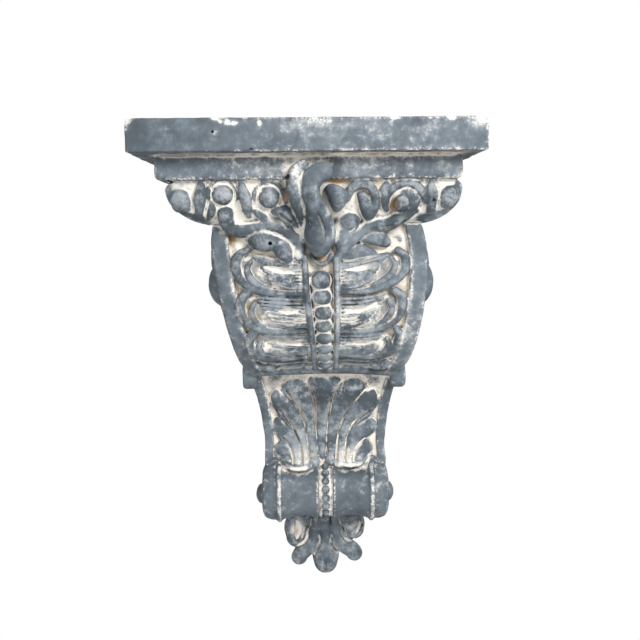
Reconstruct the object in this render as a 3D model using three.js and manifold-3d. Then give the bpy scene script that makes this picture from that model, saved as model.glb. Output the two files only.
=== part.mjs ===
// A painted wall corbel carved in one piece: a scroll bracket under a square shelf, dressed with
// a leafy frieze, three tiers of ribbed leaves, two strings of beads, a palmette, a roll and a leaf drop.
// Millimetres, X to the right, Y into the wall, Z up. The origin lies on the flat back, on the axis.
// A place on the corbel is given by x, by its reach out from the wall and by its drop below the shelf top.
import * as THREE from 'three';
import { mergeVertices } from 'three/addons/utils/BufferGeometryUtils.js';
import Module from 'manifold-3d';

// Driving dimensions of the shelf, the step and frieze under it, and the body of the scroll
const ORIGIN_DROP = 170;
const SHELF = { width: 365, reach: 200, top: 0, bottom: 33.5, chip: 7, chipDrop: 4 };
const STEP = { width: 316, reach: 176, bottom: 60.5, rounding: 6, rows: 12, inset: 1 };
const FRIEZE = {
  bottom: 107, topWidth: 312, footWidth: 208, topReach: 166, footReach: 138, fillet: 8, rows: 7, inset: 2,
};
const CORE = { top: 100, bottom: 526, rows: 19, sideRecess: 4 };
const CROWN_OFFSET = -17;
const FRIEZE_OFFSET = -10;

// Knots of [drop, size]: the carved ground's reach, half the width of the scroll, and its axis
const GROUND_REACH = [
  [60, 166], [75, 165], [92, 155], [107, 139], [125, 140], [150, 143], [178, 143], [205, 139], [232, 130],
  [258, 114], [272, 99], [282, 88], [296, 79], [320, 69], [345, 65], [368, 69], [388, 80], [412, 88],
  [440, 76], [458, 60], [480, 50], [505, 45], [540, 40],
];
const HALF_WIDTH = [
  [100, 112], [122, 116], [160, 115], [193, 111], [227, 105], [258, 97], [276, 89], [297, 83], [333, 76],
  [365, 72], [388, 72], [430, 66], [452, 48], [480, 44], [500, 38], [516, 20], [532, 12],
];
const AXIS = [[60, -10], [107, -7], [160, -3], [210, -1], [260, 0], [540, 1]];

// Raised edges of the scroll: the wide upper bands, the narrow borders of the neck, and the rim between
const BAND = { top: 106, bottom: 277, width: 19, rise: 8, depth: 26, rows: 9 };
const BORDER = { top: 280, bottom: 392, width: 15, rise: 5, depth: 20, rows: 6 };
const RIM = { path: [[-81, 275], [0, 273], [78, 276]], halfHeight: 5.5, rise: 7 };

// Leaf tiers either side of the bead string: the hook from tip to bend to floor, the rib and pad inside it
const LEAF_AXIS = -3;
const LEAF_RAIL_X = 20;
const LEAF_TIERS = [
  { tip: [81, 134], bend: [90, 150], floor: 179, rib: 161, pad: 17 },
  { tip: [77, 177], bend: [86, 194], floor: 222, rib: 205, pad: 16 },
  { tip: [76, 221], bend: [82, 235], floor: 253, rib: 241, pad: 12 },
];
const HOOK = { halfWidths: [7.5, 7.5, 4], rise: 11, lift: 4, belly: 0.55, inset: 6, turn: 22, run: 44 };
const RIB = { halfWidths: [6, 5], rise: 8, lift: 3, inset: 15, run: 36, slope: 6 };
const PAD = { rise: 7, aboveRib: 7, inset: 8, run: 36, slope: 2 };
const CURLS = { x: [61, 73], drop: 266, lift: 2, radius: 5.5 };

// Bead strings: one down the leaves between two rails, one over the roll
const BEADS = {
  count: 8, firstDrop: 167, lastDrop: 261, pitch: 17.5, shrink: 0.91, fill: 0.52, aspect: 1.3,
  firstX: -4, lastX: 1, rise: 11, lastRise: 8,
};
const RAILS = { drops: [142, 206, 270], gaps: [17, 14.5, 12], halfWidth: 3, rise: 8, lift: 2 };
const ROLL_BEADS = { count: 8, firstAngle: -74, pitch: 21.5, radius: 5.2, sunk: 2 };

// Tongue leaf over the frieze and the ridge beside it, as [x, drop, lift over the ground]
const TONGUE = {
  path: [
    [-3, 143, 10], [-7, 127, 18], [-12, 105, 30], [-14, 85, 22], [-12, 65, 20], [-6, 50, 19], [5, 50, 18],
  ],
  halfWidths: [13, 17, 14, 11, 12, 13],
  rise: 12,
};
const RIDGE = {
  path: [[-22, 118, 14], [-26, 97, 16], [-30, 75, 15], [-33, 61, 14], [-26, 48, 16], [-14, 42, 17]],
  halfWidths: [5, 6, 5],
  rise: 12,
};

// Branches and leaves that spring from the foot of the tongue
const ARM = {
  path: [
    [100, 84, 3], [103, 95, 6], [92, 106, 8], [74, 106, 9], [58, 106, 10], [42, 112, 10], [29, 123, 10],
    [20, 139, 6],
  ],
  halfWidths: [9, 9, 8, 5],
  rise: 9,
};
const SPRIG_RISE = 8;
const SPRIG_TAPER = 0.8;
const LEFT_SPRIGS = [
  { path: [[-57, 92, 4], [-43, 94, 8], [-32, 107, 10], [-25, 124, 8]], size: 8 },
  { path: [[-76, 113, 4], [-69, 122, 5], [-60, 120, 6]], size: 11 },
  { path: [[-52, 121, 5], [-44, 130, 6], [-41, 138, 4]], size: 9 },
  { path: [[-29, 133, 6], [-27, 141, 6]], size: 6.5 },
];
const RIGHT_SPRIGS = [
  { path: [[17, 138, 6], [17, 114, 10], [22, 98, 8], [30, 91, 6], [37, 97, 4]], size: 6.5 },
  { path: [[39, 99, 6], [50, 83, 6], [48, 70, 5], [39, 66, 5], [32, 73, 4]], size: 6 },
  { path: [[12, 92, 6], [7, 81, 6], [9, 71, 5], [17, 69, 5], [22, 75, 4]], size: 5 },
  { path: [[35, 125, 4], [50, 121, 4], [63, 127, 3]], size: 8 },
  { path: [[25, 142, 3], [39, 136, 3], [51, 140, 2]], size: 7.5 },
];

// Egg lobes of the frieze, as [place, half width]: by x on the front, by reach along the plainer sides
const EGGS = { drop: 79, halfHeight: 19, rise: 9, sunk: 2, sideSunk: 8 };
const FRONT_EGGS = [[-155, 13], [-131, 5], [-107, 12], [-84, 5], [-60, 12], [87, 13], [112, 5], [134, 13]];
const SIDE_EGGS = [[120, 13], [72, 13], [24, 13]];

// Palmette of the neck: the middle leaf, and the tip and root of each leaf beside it
const PALMETTE = { rootDrop: 390, rise: 9, lift: 2, bendAcross: 0.42, bendAlong: 0.62, taper: [1, 0.8, 0.5] };
const PALMETTE_MIDDLE = { path: [[-3, 281, 0], [-2, 330, 2], [0, 390, 1]], halfWidths: [13, 10, 5] };
const PALMETTE_LEAVES = [
  { tip: [29, 286], root: 9, size: 11 },
  { tip: [49, 296], root: 18, size: 11 },
  { tip: [54, 323], root: 28, size: 10 },
  { tip: [53, 354], root: 38, size: 10 },
];

// Roll at the foot of the scroll, turned about a level axis, as [distance along, radius]
const ROLL = { reach: 87, drop: 419, halfLength: 74, radius: 33.5, sides: 14 };
const ROLL_HALF = [
  [74, 33.5], [57, 33.5], [54, 36.5], [50, 33.5], [38, 29.5], [22, 29.5], [9.5, 33], [8.5, 31],
];
const ROLL_EYE = { reach: 90, drop: 422, radius: 12, rise: 8 };

// Leaf drop under the roll, as [x, drop, lift over the ground]
const DROP_RISE = 9;
const DROP_MIDDLE = {
  path: [[0, 458, 2], [0, 486, 5], [1, 510, 11], [1, 537, 13]],
  halfWidths: [7, 8, 14, 18],
};
const DROP_LEAVES = [
  { path: [[13, 462, 2], [16, 492, 5], [28, 512, 9], [36, 526, 12]], halfWidths: [7, 11, 12] },
  { path: [[22, 458, 2], [36, 470, 5], [43, 486, 7], [38, 503, 5]], halfWidths: [11, 14, 12] },
];

// Scroll on each side: a spiral band, its boss, and the ear where the scroll ends
const SPIRAL = {
  reach: 94, drop: 174, outer: 52, inner: 28, startAngle: -0.5, turns: -1.3, points: 16, rows: 17,
  halfWidth: 7, rise: 8,
};
const BOSS = { reach: 96, drop: 172, radius: 26, rise: 17, sunk: 2 };
const EAR = { x: 86, reach: 84, drop: 281, radius: 16, halfLength: 9, sides: 10 };
const PAINT = { color: 0x71808d, roughness: 0.86, metalness: 0 };

// Fineness of the lobes: the squareness of their ends, and the facets round and along them
const SQUARE_END = 0.2;
const ROUND_END = 0.5;
const SMALL_EGG = { sides: 6, rows: 4 };
const BOLD_EGG = { sides: 8, rows: 6 };

const { lerp, mapLinear, degToRad, clamp } = THREE.MathUtils;
const SIDES = [-1, 1];
const wasm = await Module();
wasm.setup();

// Smooth curve of a size through its knots.
function throughKnots(knots) {
  const positions = knots.map(([position]) => position);
  const values = knots.map(([, value]) => value);
  const curve = new THREE.CubicInterpolant(positions, values, 1, new Float64Array(1));
  return (position) => curve.evaluate(clamp(position, positions[0], positions.at(-1)))[0];
}

// Smooth curve of values spread evenly over 0 to 1.
function spread(values) {
  return throughKnots(values.map((value, i) => [i / (values.length - 1), value]));
}

const groundReach = throughKnots(GROUND_REACH);
const halfWidth = throughKnots(HALF_WIDTH);
const axisX = throughKnots(AXIS);

// Point at x, out from the wall by reach, below the shelf top by drop.
function place(x, reach, drop) {
  return new THREE.Vector3(x, -reach, ORIGIN_DROP - drop);
}

// Point on the carved front, raised by lift.
function onFront([x, drop, lift = 0]) {
  return place(x, groundReach(drop) + lift, drop);
}

// Direction that the carved front faces at a point.
function facingFront(point) {
  const drop = ORIGIN_DROP - point.z;
  const slope = (groundReach(drop + 1) - groundReach(drop - 1)) / 2;
  return new THREE.Vector3(0, -1, slope).normalize();
}

// Geometry with its shared corners merged and each point moved by a function.
function reshape(geometry, move) {
  geometry.deleteAttribute('normal');
  geometry.deleteAttribute('uv');
  const shape = mergeVertices(geometry);
  const { position } = shape.attributes;
  const point = new THREE.Vector3();
  for (let i = 0; i < position.count; i += 1) {
    const moved = move(point.fromBufferAttribute(position, i));
    position.setXYZ(i, moved.x, moved.y, moved.z);
  }
  return shape;
}

// Closed geometry as a solid that can be joined and cut.
function solid(shape) {
  const vertProperties = new Float32Array(shape.attributes.position.array);
  const triVerts = new Uint32Array(shape.index.array);
  return new wasm.Manifold(new wasm.Mesh({ numProp: 3, vertProperties, triVerts }));
}

// Solids joined into one.
function join(solids) {
  return solids.reduce((sum, next) => sum.add(next));
}

// Block in rows from top to bottom, whose section at each drop is set by functions of the drop.
function block({ top, bottom, rows, left, right, back = () => 0, front }) {
  const box = new THREE.BoxGeometry(1, 1, 1, 1, 1, rows);
  return solid(reshape(box, (v) => {
    const drop = lerp(top, bottom, 0.5 - v.z);
    const x = lerp(left(drop), right(drop), v.x + 0.5);
    const reach = lerp(front(drop), back(drop), v.y + 0.5);
    return place(x, reach, drop);
  }));
}

// Rounded lobe swept along points: it is as wide as halfWidths and rises the way that facing gives.
function sweep(points, halfWidths, rise, facing, { sides = 6, rows = 7, ends = ROUND_END } = {}) {
  const curve = new THREE.CatmullRomCurve3(points);
  const width = spread(halfWidths);
  const across = new THREE.Vector3();
  return solid(reshape(new THREE.SphereGeometry(1, sides, rows), (v) => {
    const t = (1 - v.y) / 2;
    const ring = Math.max(Math.hypot(v.x, v.z), Number.EPSILON);
    const swell = ring ** (ends - 1);
    const centre = curve.getPoint(t);
    const tangent = curve.getTangent(t);
    const up = facing(centre);
    up.addScaledVector(tangent, -up.dot(tangent)).normalize();
    across.crossVectors(up, tangent);
    return centre.addScaledVector(across, v.x * swell * width(t)).addScaledVector(up, v.z * swell * rise);
  }));
}

// Lobe laid on the carved front along [x, drop, lift] points.
function lobe(path, halfWidths, rise, fineness) {
  return sweep(path.map(onFront), halfWidths, rise, facingFront, fineness);
}

// Egg-shaped swelling with three half sizes.
function egg(centre, halfSizes, { sides = 7, rows = 5 } = {}) {
  const scale = new THREE.Vector3(...halfSizes);
  return solid(reshape(new THREE.SphereGeometry(1, sides, rows), (v) => v.multiply(scale).add(centre)));
}

// Path turned over to one side of an axis.
function mirrored(path, side, axis = 0) {
  return path.map(([x, ...rest]) => [axis + side * x, ...rest]);
}

// Shelf with its two front corners chipped.
function shelf() {
  const half = SHELF.width / 2;
  const slab = block({
    top: SHELF.top, bottom: SHELF.bottom, rows: 1,
    left: () => CROWN_OFFSET - half, right: () => CROWN_OFFSET + half, front: () => SHELF.reach,
  });
  return SIDES.reduce((cut, side) => {
    const corner = place(CROWN_OFFSET + side * half, SHELF.reach, SHELF.top);
    return cut.subtract(egg(corner, [SHELF.chip, SHELF.chip, SHELF.chipDrop], SMALL_EGG));
  }, slab);
}

// Step under the shelf, with a rounded lower edge.
function step() {
  const half = STEP.width / 2;
  const tuck = (drop) => {
    const into = Math.max(0, drop - (STEP.bottom - STEP.rounding)) / STEP.rounding;
    return STEP.rounding * (1 - Math.sqrt(Math.max(0, 1 - into * into)));
  };
  return block({
    top: SHELF.bottom - STEP.inset, bottom: STEP.bottom, rows: STEP.rows,
    left: (drop) => CROWN_OFFSET - half + tuck(drop), right: (drop) => CROWN_OFFSET + half - tuck(drop),
    front: (drop) => STEP.reach - tuck(drop),
  });
}

// Quarter-round frieze that draws in from the step to the scroll.
function frieze() {
  const start = STEP.bottom + FRIEZE.fillet;
  const round = (drop) => {
    const into = Math.max(0, drop - start) / (FRIEZE.bottom - start);
    return Math.sqrt(Math.max(0, 1 - into * into));
  };
  const half = (drop) => lerp(FRIEZE.footWidth, FRIEZE.topWidth, round(drop)) / 2;
  const centre = (drop) => lerp(axisX(FRIEZE.bottom), FRIEZE_OFFSET, round(drop));
  return block({
    top: STEP.bottom - FRIEZE.inset, bottom: FRIEZE.bottom, rows: FRIEZE.rows,
    left: (drop) => centre(drop) - half(drop), right: (drop) => centre(drop) + half(drop),
    front: (drop) => lerp(FRIEZE.footReach, FRIEZE.topReach, round(drop)),
  });
}

// Body of the scroll, from the frieze down to the tip of the leaf drop.
function core() {
  const half = (drop) => halfWidth(drop) - CORE.sideRecess;
  return block({
    ...CORE, front: groundReach,
    left: (drop) => axisX(drop) - half(drop), right: (drop) => axisX(drop) + half(drop),
  });
}

// Raised edge strip of the scroll on one side.
function edge(strip, side) {
  const outer = (drop) => axisX(drop) + side * halfWidth(drop);
  const inner = (drop) => axisX(drop) + side * (halfWidth(drop) - strip.width);
  const [left, right] = side < 0 ? [outer, inner] : [inner, outer];
  return block({
    ...strip, left, right,
    back: (drop) => groundReach(drop) - strip.depth, front: (drop) => groundReach(drop) + strip.rise,
  });
}

// One tier of ribbed leaf on one side: a hook round a swelling pad with a rib.
function leafTier({ tip, bend, floor, rib, pad }, side) {
  const [bendX, bendDrop] = bend;
  const onSide = (path) => mirrored(path, side, LEAF_AXIS);
  const hookPath = [
    [...tip, HOOK.lift], [...bend, HOOK.lift],
    [bendX - HOOK.inset, lerp(bendDrop, floor, HOOK.belly), HOOK.lift],
    [bendX - HOOK.turn, floor - HOOK.lift, HOOK.lift],
    [bendX - HOOK.run, floor, HOOK.lift - 1], [LEAF_RAIL_X, floor, HOOK.lift - 2],
  ];
  const ribPath = [
    [bendX - RIB.inset, rib - RIB.slope, RIB.lift], [bendX - RIB.run, rib, RIB.lift + 1],
    [LEAF_RAIL_X, rib + RIB.lift, RIB.lift],
  ];
  const padDrop = rib - PAD.aboveRib;
  const padPath = [
    [bendX - PAD.inset, padDrop], [bendX - PAD.run, padDrop + PAD.slope],
    [LEAF_RAIL_X - PAD.slope, padDrop + 2 * PAD.slope],
  ];
  return [
    lobe(onSide(padPath), [pad, pad], PAD.rise, { rows: 5, ends: 2 * SQUARE_END }),
    lobe(onSide(hookPath), HOOK.halfWidths, HOOK.rise, { rows: 9 }),
    lobe(onSide(ribPath), RIB.halfWidths, RIB.rise, { rows: 5 }),
  ];
}

// Three leaf tiers on both sides, the curled ends under them, and the rim below.
function leaves() {
  const rim = lobe(RIM.path, [RIM.halfHeight, RIM.halfHeight], RIM.rise, { rows: 6, ends: SQUARE_END });
  const tiers = SIDES.flatMap((side) => LEAF_TIERS.flatMap((tier) => leafTier(tier, side)));
  const curls = SIDES.flatMap((side) => CURLS.x.map((x) => {
    const centre = onFront([LEAF_AXIS + side * x, CURLS.drop, CURLS.lift]);
    return egg(centre, [CURLS.radius, CURLS.radius, CURLS.radius], SMALL_EGG);
  }));
  return join([rim, ...tiers, ...curls]);
}

// String of beads between two rails, each bead smaller than the one above.
function beadString() {
  const { firstDrop, lastDrop } = BEADS;
  const stringX = (drop) => mapLinear(drop, firstDrop, lastDrop, BEADS.firstX, BEADS.lastX);
  const solids = SIDES.map((side) => {
    const path = RAILS.drops.map((drop, i) => [stringX(drop) + side * RAILS.gaps[i], drop, RAILS.lift]);
    return lobe(path, [RAILS.halfWidth, RAILS.halfWidth], RAILS.rise, { rows: 6, ends: SQUARE_END });
  });
  let drop = firstDrop;
  let { pitch } = BEADS;
  for (let i = 0; i < BEADS.count; i += 1) {
    const half = pitch * BEADS.fill;
    const rise = mapLinear(drop, firstDrop, lastDrop, BEADS.rise, BEADS.lastRise);
    solids.push(egg(onFront([stringX(drop), drop]), [half * BEADS.aspect, rise, half]));
    drop += pitch;
    pitch *= BEADS.shrink;
  }
  return join(solids);
}

// Tongue leaf with its side ridge, and the branches and leaves around its foot.
function foliage() {
  const tongue = lobe(TONGUE.path, TONGUE.halfWidths, TONGUE.rise, { sides: 8, rows: 10 });
  const ridge = lobe(RIDGE.path, RIDGE.halfWidths, RIDGE.rise);
  const arms = SIDES.map((side) => {
    const path = mirrored(ARM.path, side, LEAF_AXIS);
    return lobe(path, ARM.halfWidths, ARM.rise, { rows: 8 });
  });
  const sprigs = [...LEFT_SPRIGS, ...RIGHT_SPRIGS].map(
    ({ path, size }) => lobe(path, [size, size, size * SPRIG_TAPER], SPRIG_RISE, { rows: 6 }),
  );
  return join([tongue, ridge, ...arms, ...sprigs]);
}

// Egg lobes along the frieze's front, and plainer ones along its two sides.
function friezeEggs() {
  const front = FRONT_EGGS.map(([x, half]) => {
    const centre = onFront([x, EGGS.drop, -EGGS.sunk]);
    return egg(centre, [half, EGGS.rise, EGGS.halfHeight], { rows: 4 });
  });
  const sides = SIDES.flatMap((side) => SIDE_EGGS.map(([reach, half]) => {
    const centre = place(FRIEZE_OFFSET + side * (FRIEZE.topWidth / 2 - EGGS.sideSunk), reach, EGGS.drop);
    return egg(centre, [EGGS.rise, half, EGGS.halfHeight], SMALL_EGG);
  }));
  return join([...front, ...sides]);
}

// Fan of leaves on the neck, rising from the roll.
function palmette() {
  const middle = lobe(PALMETTE_MIDDLE.path, PALMETTE_MIDDLE.halfWidths, PALMETTE.rise);
  const leafFan = SIDES.flatMap((side) => PALMETTE_LEAVES.map(({ tip, root, size }) => {
    const [tipX, tipDrop] = tip;
    const bendX = lerp(root, tipX, PALMETTE.bendAcross);
    const bendDrop = lerp(PALMETTE.rootDrop, tipDrop, PALMETTE.bendAlong);
    const path = [[tipX, tipDrop], [bendX, bendDrop, PALMETTE.lift], [root, PALMETTE.rootDrop]];
    return lobe(mirrored(path, side), PALMETTE.taper.map((part) => size * part), PALMETTE.rise, { rows: 5 });
  }));
  return join([middle, ...leafFan]);
}

// Roll with hollow panels between its ridges, a string of beads over it and an eye at each end.
function roll() {
  const stations = [...mirrored(ROLL_HALF, -1), ...ROLL_HALF.toReversed()];
  const outline = stations.map(([along, radius]) => new THREE.Vector2(radius, along));
  const closed = [new THREE.Vector2(0, -ROLL.halfLength), ...outline, new THREE.Vector2(0, ROLL.halfLength)];
  const turned = new THREE.LatheGeometry(closed, ROLL.sides);
  const drum = solid(reshape(turned, (v) => place(v.y, ROLL.reach + v.x, ROLL.drop - v.z)));
  const solids = [drum];
  const out = ROLL.radius - ROLL_BEADS.sunk;
  for (let i = 0; i < ROLL_BEADS.count; i += 1) {
    const angle = degToRad(ROLL_BEADS.firstAngle + ROLL_BEADS.pitch * i);
    const centre = place(0, ROLL.reach + out * Math.cos(angle), ROLL.drop + out * Math.sin(angle));
    solids.push(egg(centre, [ROLL_BEADS.radius, ROLL_BEADS.radius, ROLL_BEADS.radius], SMALL_EGG));
  }
  for (const side of SIDES) {
    const centre = place(side * ROLL.halfLength, ROLL_EYE.reach, ROLL_EYE.drop);
    solids.push(egg(centre, [ROLL_EYE.rise, ROLL_EYE.radius, ROLL_EYE.radius], BOLD_EGG));
  }
  return join(solids);
}

// Leaves that hang below the roll.
function leafDrop() {
  const middle = lobe(DROP_MIDDLE.path, DROP_MIDDLE.halfWidths, DROP_RISE, { rows: 8 });
  const leafPairs = SIDES.flatMap((side) => DROP_LEAVES.map(
    ({ path, halfWidths }) => lobe(mirrored(path, side), halfWidths, DROP_RISE),
  ));
  return join([middle, ...leafPairs]);
}

// Scroll on one side of the body: a spiral band round a boss, and the ear at its lower end.
function sideScroll(side) {
  const facing = () => new THREE.Vector3(side, 0, 0);
  const sideX = (drop, sunk) => axisX(drop) + side * (halfWidth(drop) - sunk);
  const points = [];
  for (let i = 0; i <= SPIRAL.points; i += 1) {
    const t = i / SPIRAL.points;
    const angle = SPIRAL.startAngle + t * SPIRAL.turns * 2 * Math.PI;
    const radius = lerp(SPIRAL.outer, SPIRAL.inner, t);
    const drop = SPIRAL.drop + radius * Math.sin(angle);
    points.push(place(sideX(drop, CORE.sideRecess), SPIRAL.reach + radius * Math.cos(angle), drop));
  }
  const fineness = { rows: SPIRAL.rows, ends: SQUARE_END };
  const spiral = sweep(points, [SPIRAL.halfWidth, SPIRAL.halfWidth], SPIRAL.rise, facing, fineness);
  const bossCentre = place(sideX(BOSS.drop, BOSS.sunk), BOSS.reach, BOSS.drop);
  const boss = egg(bossCentre, [BOSS.rise, BOSS.radius, BOSS.radius], BOLD_EGG);
  const disc = new THREE.CylinderGeometry(EAR.radius, EAR.radius, EAR.halfLength * 2, EAR.sides);
  const ear = solid(reshape(disc, (v) => place(side * EAR.x + v.y, EAR.reach + v.x, EAR.drop - v.z)));
  return join([spiral, boss, ear]);
}

// Whole corbel as one solid.
function corbelSolid() {
  const edges = SIDES.flatMap((side) => [edge(BAND, side), edge(BORDER, side), sideScroll(side)]);
  const carving = [leaves(), beadString(), foliage(), friezeEggs(), palmette(), roll(), leafDrop()];
  return join([shelf(), step(), frieze(), core(), ...edges, ...carving]);
}

// Solid as a geometry that can be shown.
function geometryOf(body) {
  const { vertProperties, triVerts } = body.getMesh();
  const geometry = new THREE.BufferGeometry();
  geometry.setAttribute('position', new THREE.BufferAttribute(vertProperties, 3));
  geometry.setIndex(new THREE.BufferAttribute(triVerts, 1));
  geometry.computeVertexNormals();
  return geometry;
}

const corbel = new THREE.Mesh(geometryOf(corbelSolid()), new THREE.MeshStandardMaterial(PAINT));
corbel.name = 'corbel';

const group = new THREE.Group();
group.add(corbel);

export default group;
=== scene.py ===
"""A carved and painted wall corbel: the carved block, its worn paint and the studio around it.

Lengths on the corbel are in millimetres. A place on it is given by x, by its reach out from the wall and
by its drop below the shelf top, the way a carver measures it. Blender's own sizes are in metres.
"""

import logging
import math
from dataclasses import dataclass
from enum import Enum
from typing import Sequence

import bpy
import numpy as np
import openvdb
from mathutils import Matrix, Vector


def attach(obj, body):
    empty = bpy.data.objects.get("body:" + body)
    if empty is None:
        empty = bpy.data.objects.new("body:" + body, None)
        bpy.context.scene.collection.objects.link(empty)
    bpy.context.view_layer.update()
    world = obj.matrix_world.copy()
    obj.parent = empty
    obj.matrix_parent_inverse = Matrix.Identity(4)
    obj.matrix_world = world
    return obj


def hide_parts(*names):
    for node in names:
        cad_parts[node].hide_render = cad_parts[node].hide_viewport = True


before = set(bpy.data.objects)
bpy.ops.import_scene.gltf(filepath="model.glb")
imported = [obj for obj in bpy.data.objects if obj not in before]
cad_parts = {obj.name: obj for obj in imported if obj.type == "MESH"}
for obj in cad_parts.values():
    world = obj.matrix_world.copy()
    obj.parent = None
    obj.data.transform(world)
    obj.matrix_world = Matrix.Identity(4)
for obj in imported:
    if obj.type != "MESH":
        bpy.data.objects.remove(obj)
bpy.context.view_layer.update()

LOG = logging.getLogger("corbel")
PIECE_NAME = "carved_corbel"
NODE_NAME = "corbel"
BODY_NAME = "root"
FRONT_GROUP = "front"

MM = 0.001
ORIGIN_DROP = 170.0
SIDES = (-1, 1)
SEED = 1871
SHORTEST_STEP = 1e-6
SHORTEST_SQUARE = 1e-9

Knots = Sequence[tuple[float, float]]
Line = Sequence[tuple[float, float, float]]


class Fineness(Enum):
    """How fine the carving grid is, as its pitch in millimetres."""

    TRIAL = 2.0
    FINISHED = 1.2


def through_knots(knots: Knots, at: np.ndarray) -> np.ndarray:
    """Reads a smooth curve that passes through its knots.

    Args:
        knots: Pairs of position and size, in order of position.
        at: Positions to read; those past the ends read the end sizes.

    Returns:
        The sizes at those positions.
    """
    places, sizes = np.array(knots, float).T
    slopes = np.gradient(sizes, places)
    at = np.clip(np.asarray(at, float), places[0], places[-1])
    first = np.clip(np.searchsorted(places, at) - 1, 0, len(places) - 2)
    span = places[first + 1] - places[first]
    t = (at - places[first]) / span
    start = sizes[first] * (1 + 2 * t) + slopes[first] * span * t
    end = sizes[first + 1] * (3 - 2 * t) + slopes[first + 1] * span * (t - 1)
    return start * (1 - t) ** 2 + end * t**2


def along_line(points: Sequence[Sequence[float]], count: int) -> np.ndarray:
    """Spaces samples evenly along a smooth line through points.

    Args:
        points: The points that the line passes through.
        count: How many samples to take.

    Returns:
        An array with one row per sample.
    """
    rows = np.array(points, float)
    steps = np.linalg.norm(np.diff(rows, axis=0), axis=1)
    walked = np.concatenate([[0.0], np.cumsum(np.maximum(steps, SHORTEST_STEP))])
    at = np.linspace(0.0, walked[-1], count)
    return np.stack([through_knots(list(zip(walked, column)), at) for column in rows.T], axis=1)


def spread(values: Sequence[float], count: int) -> np.ndarray:
    """Spaces a few sizes smoothly over a number of samples.

    Args:
        values: Sizes from the start of the line to its end.
        count: How many samples to give.

    Returns:
        The size at each sample.
    """
    if len(values) == 1:
        return np.full(count, float(values[0]))
    knots = list(zip(np.linspace(0, 1, len(values)), values))
    return through_knots(knots, np.linspace(0, 1, count))


def smooth_step(value: np.ndarray, low: float, high: float) -> np.ndarray:
    """Eases a value from 0 at low to 1 at high.

    Args:
        value: The values to ease.
        low: Where the result leaves 0.
        high: Where the result reaches 1.

    Returns:
        Values between 0 and 1.
    """
    t = np.clip((value - low) / (high - low), 0, 1)
    return t * t * (3 - 2 * t)


@dataclass(frozen=True)
class Window:
    """A box of the carving grid: where it is, and its coordinates shaped to spread over it."""

    where: tuple[slice, slice, slice]
    x: np.ndarray
    reach: np.ndarray
    drop: np.ndarray


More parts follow.
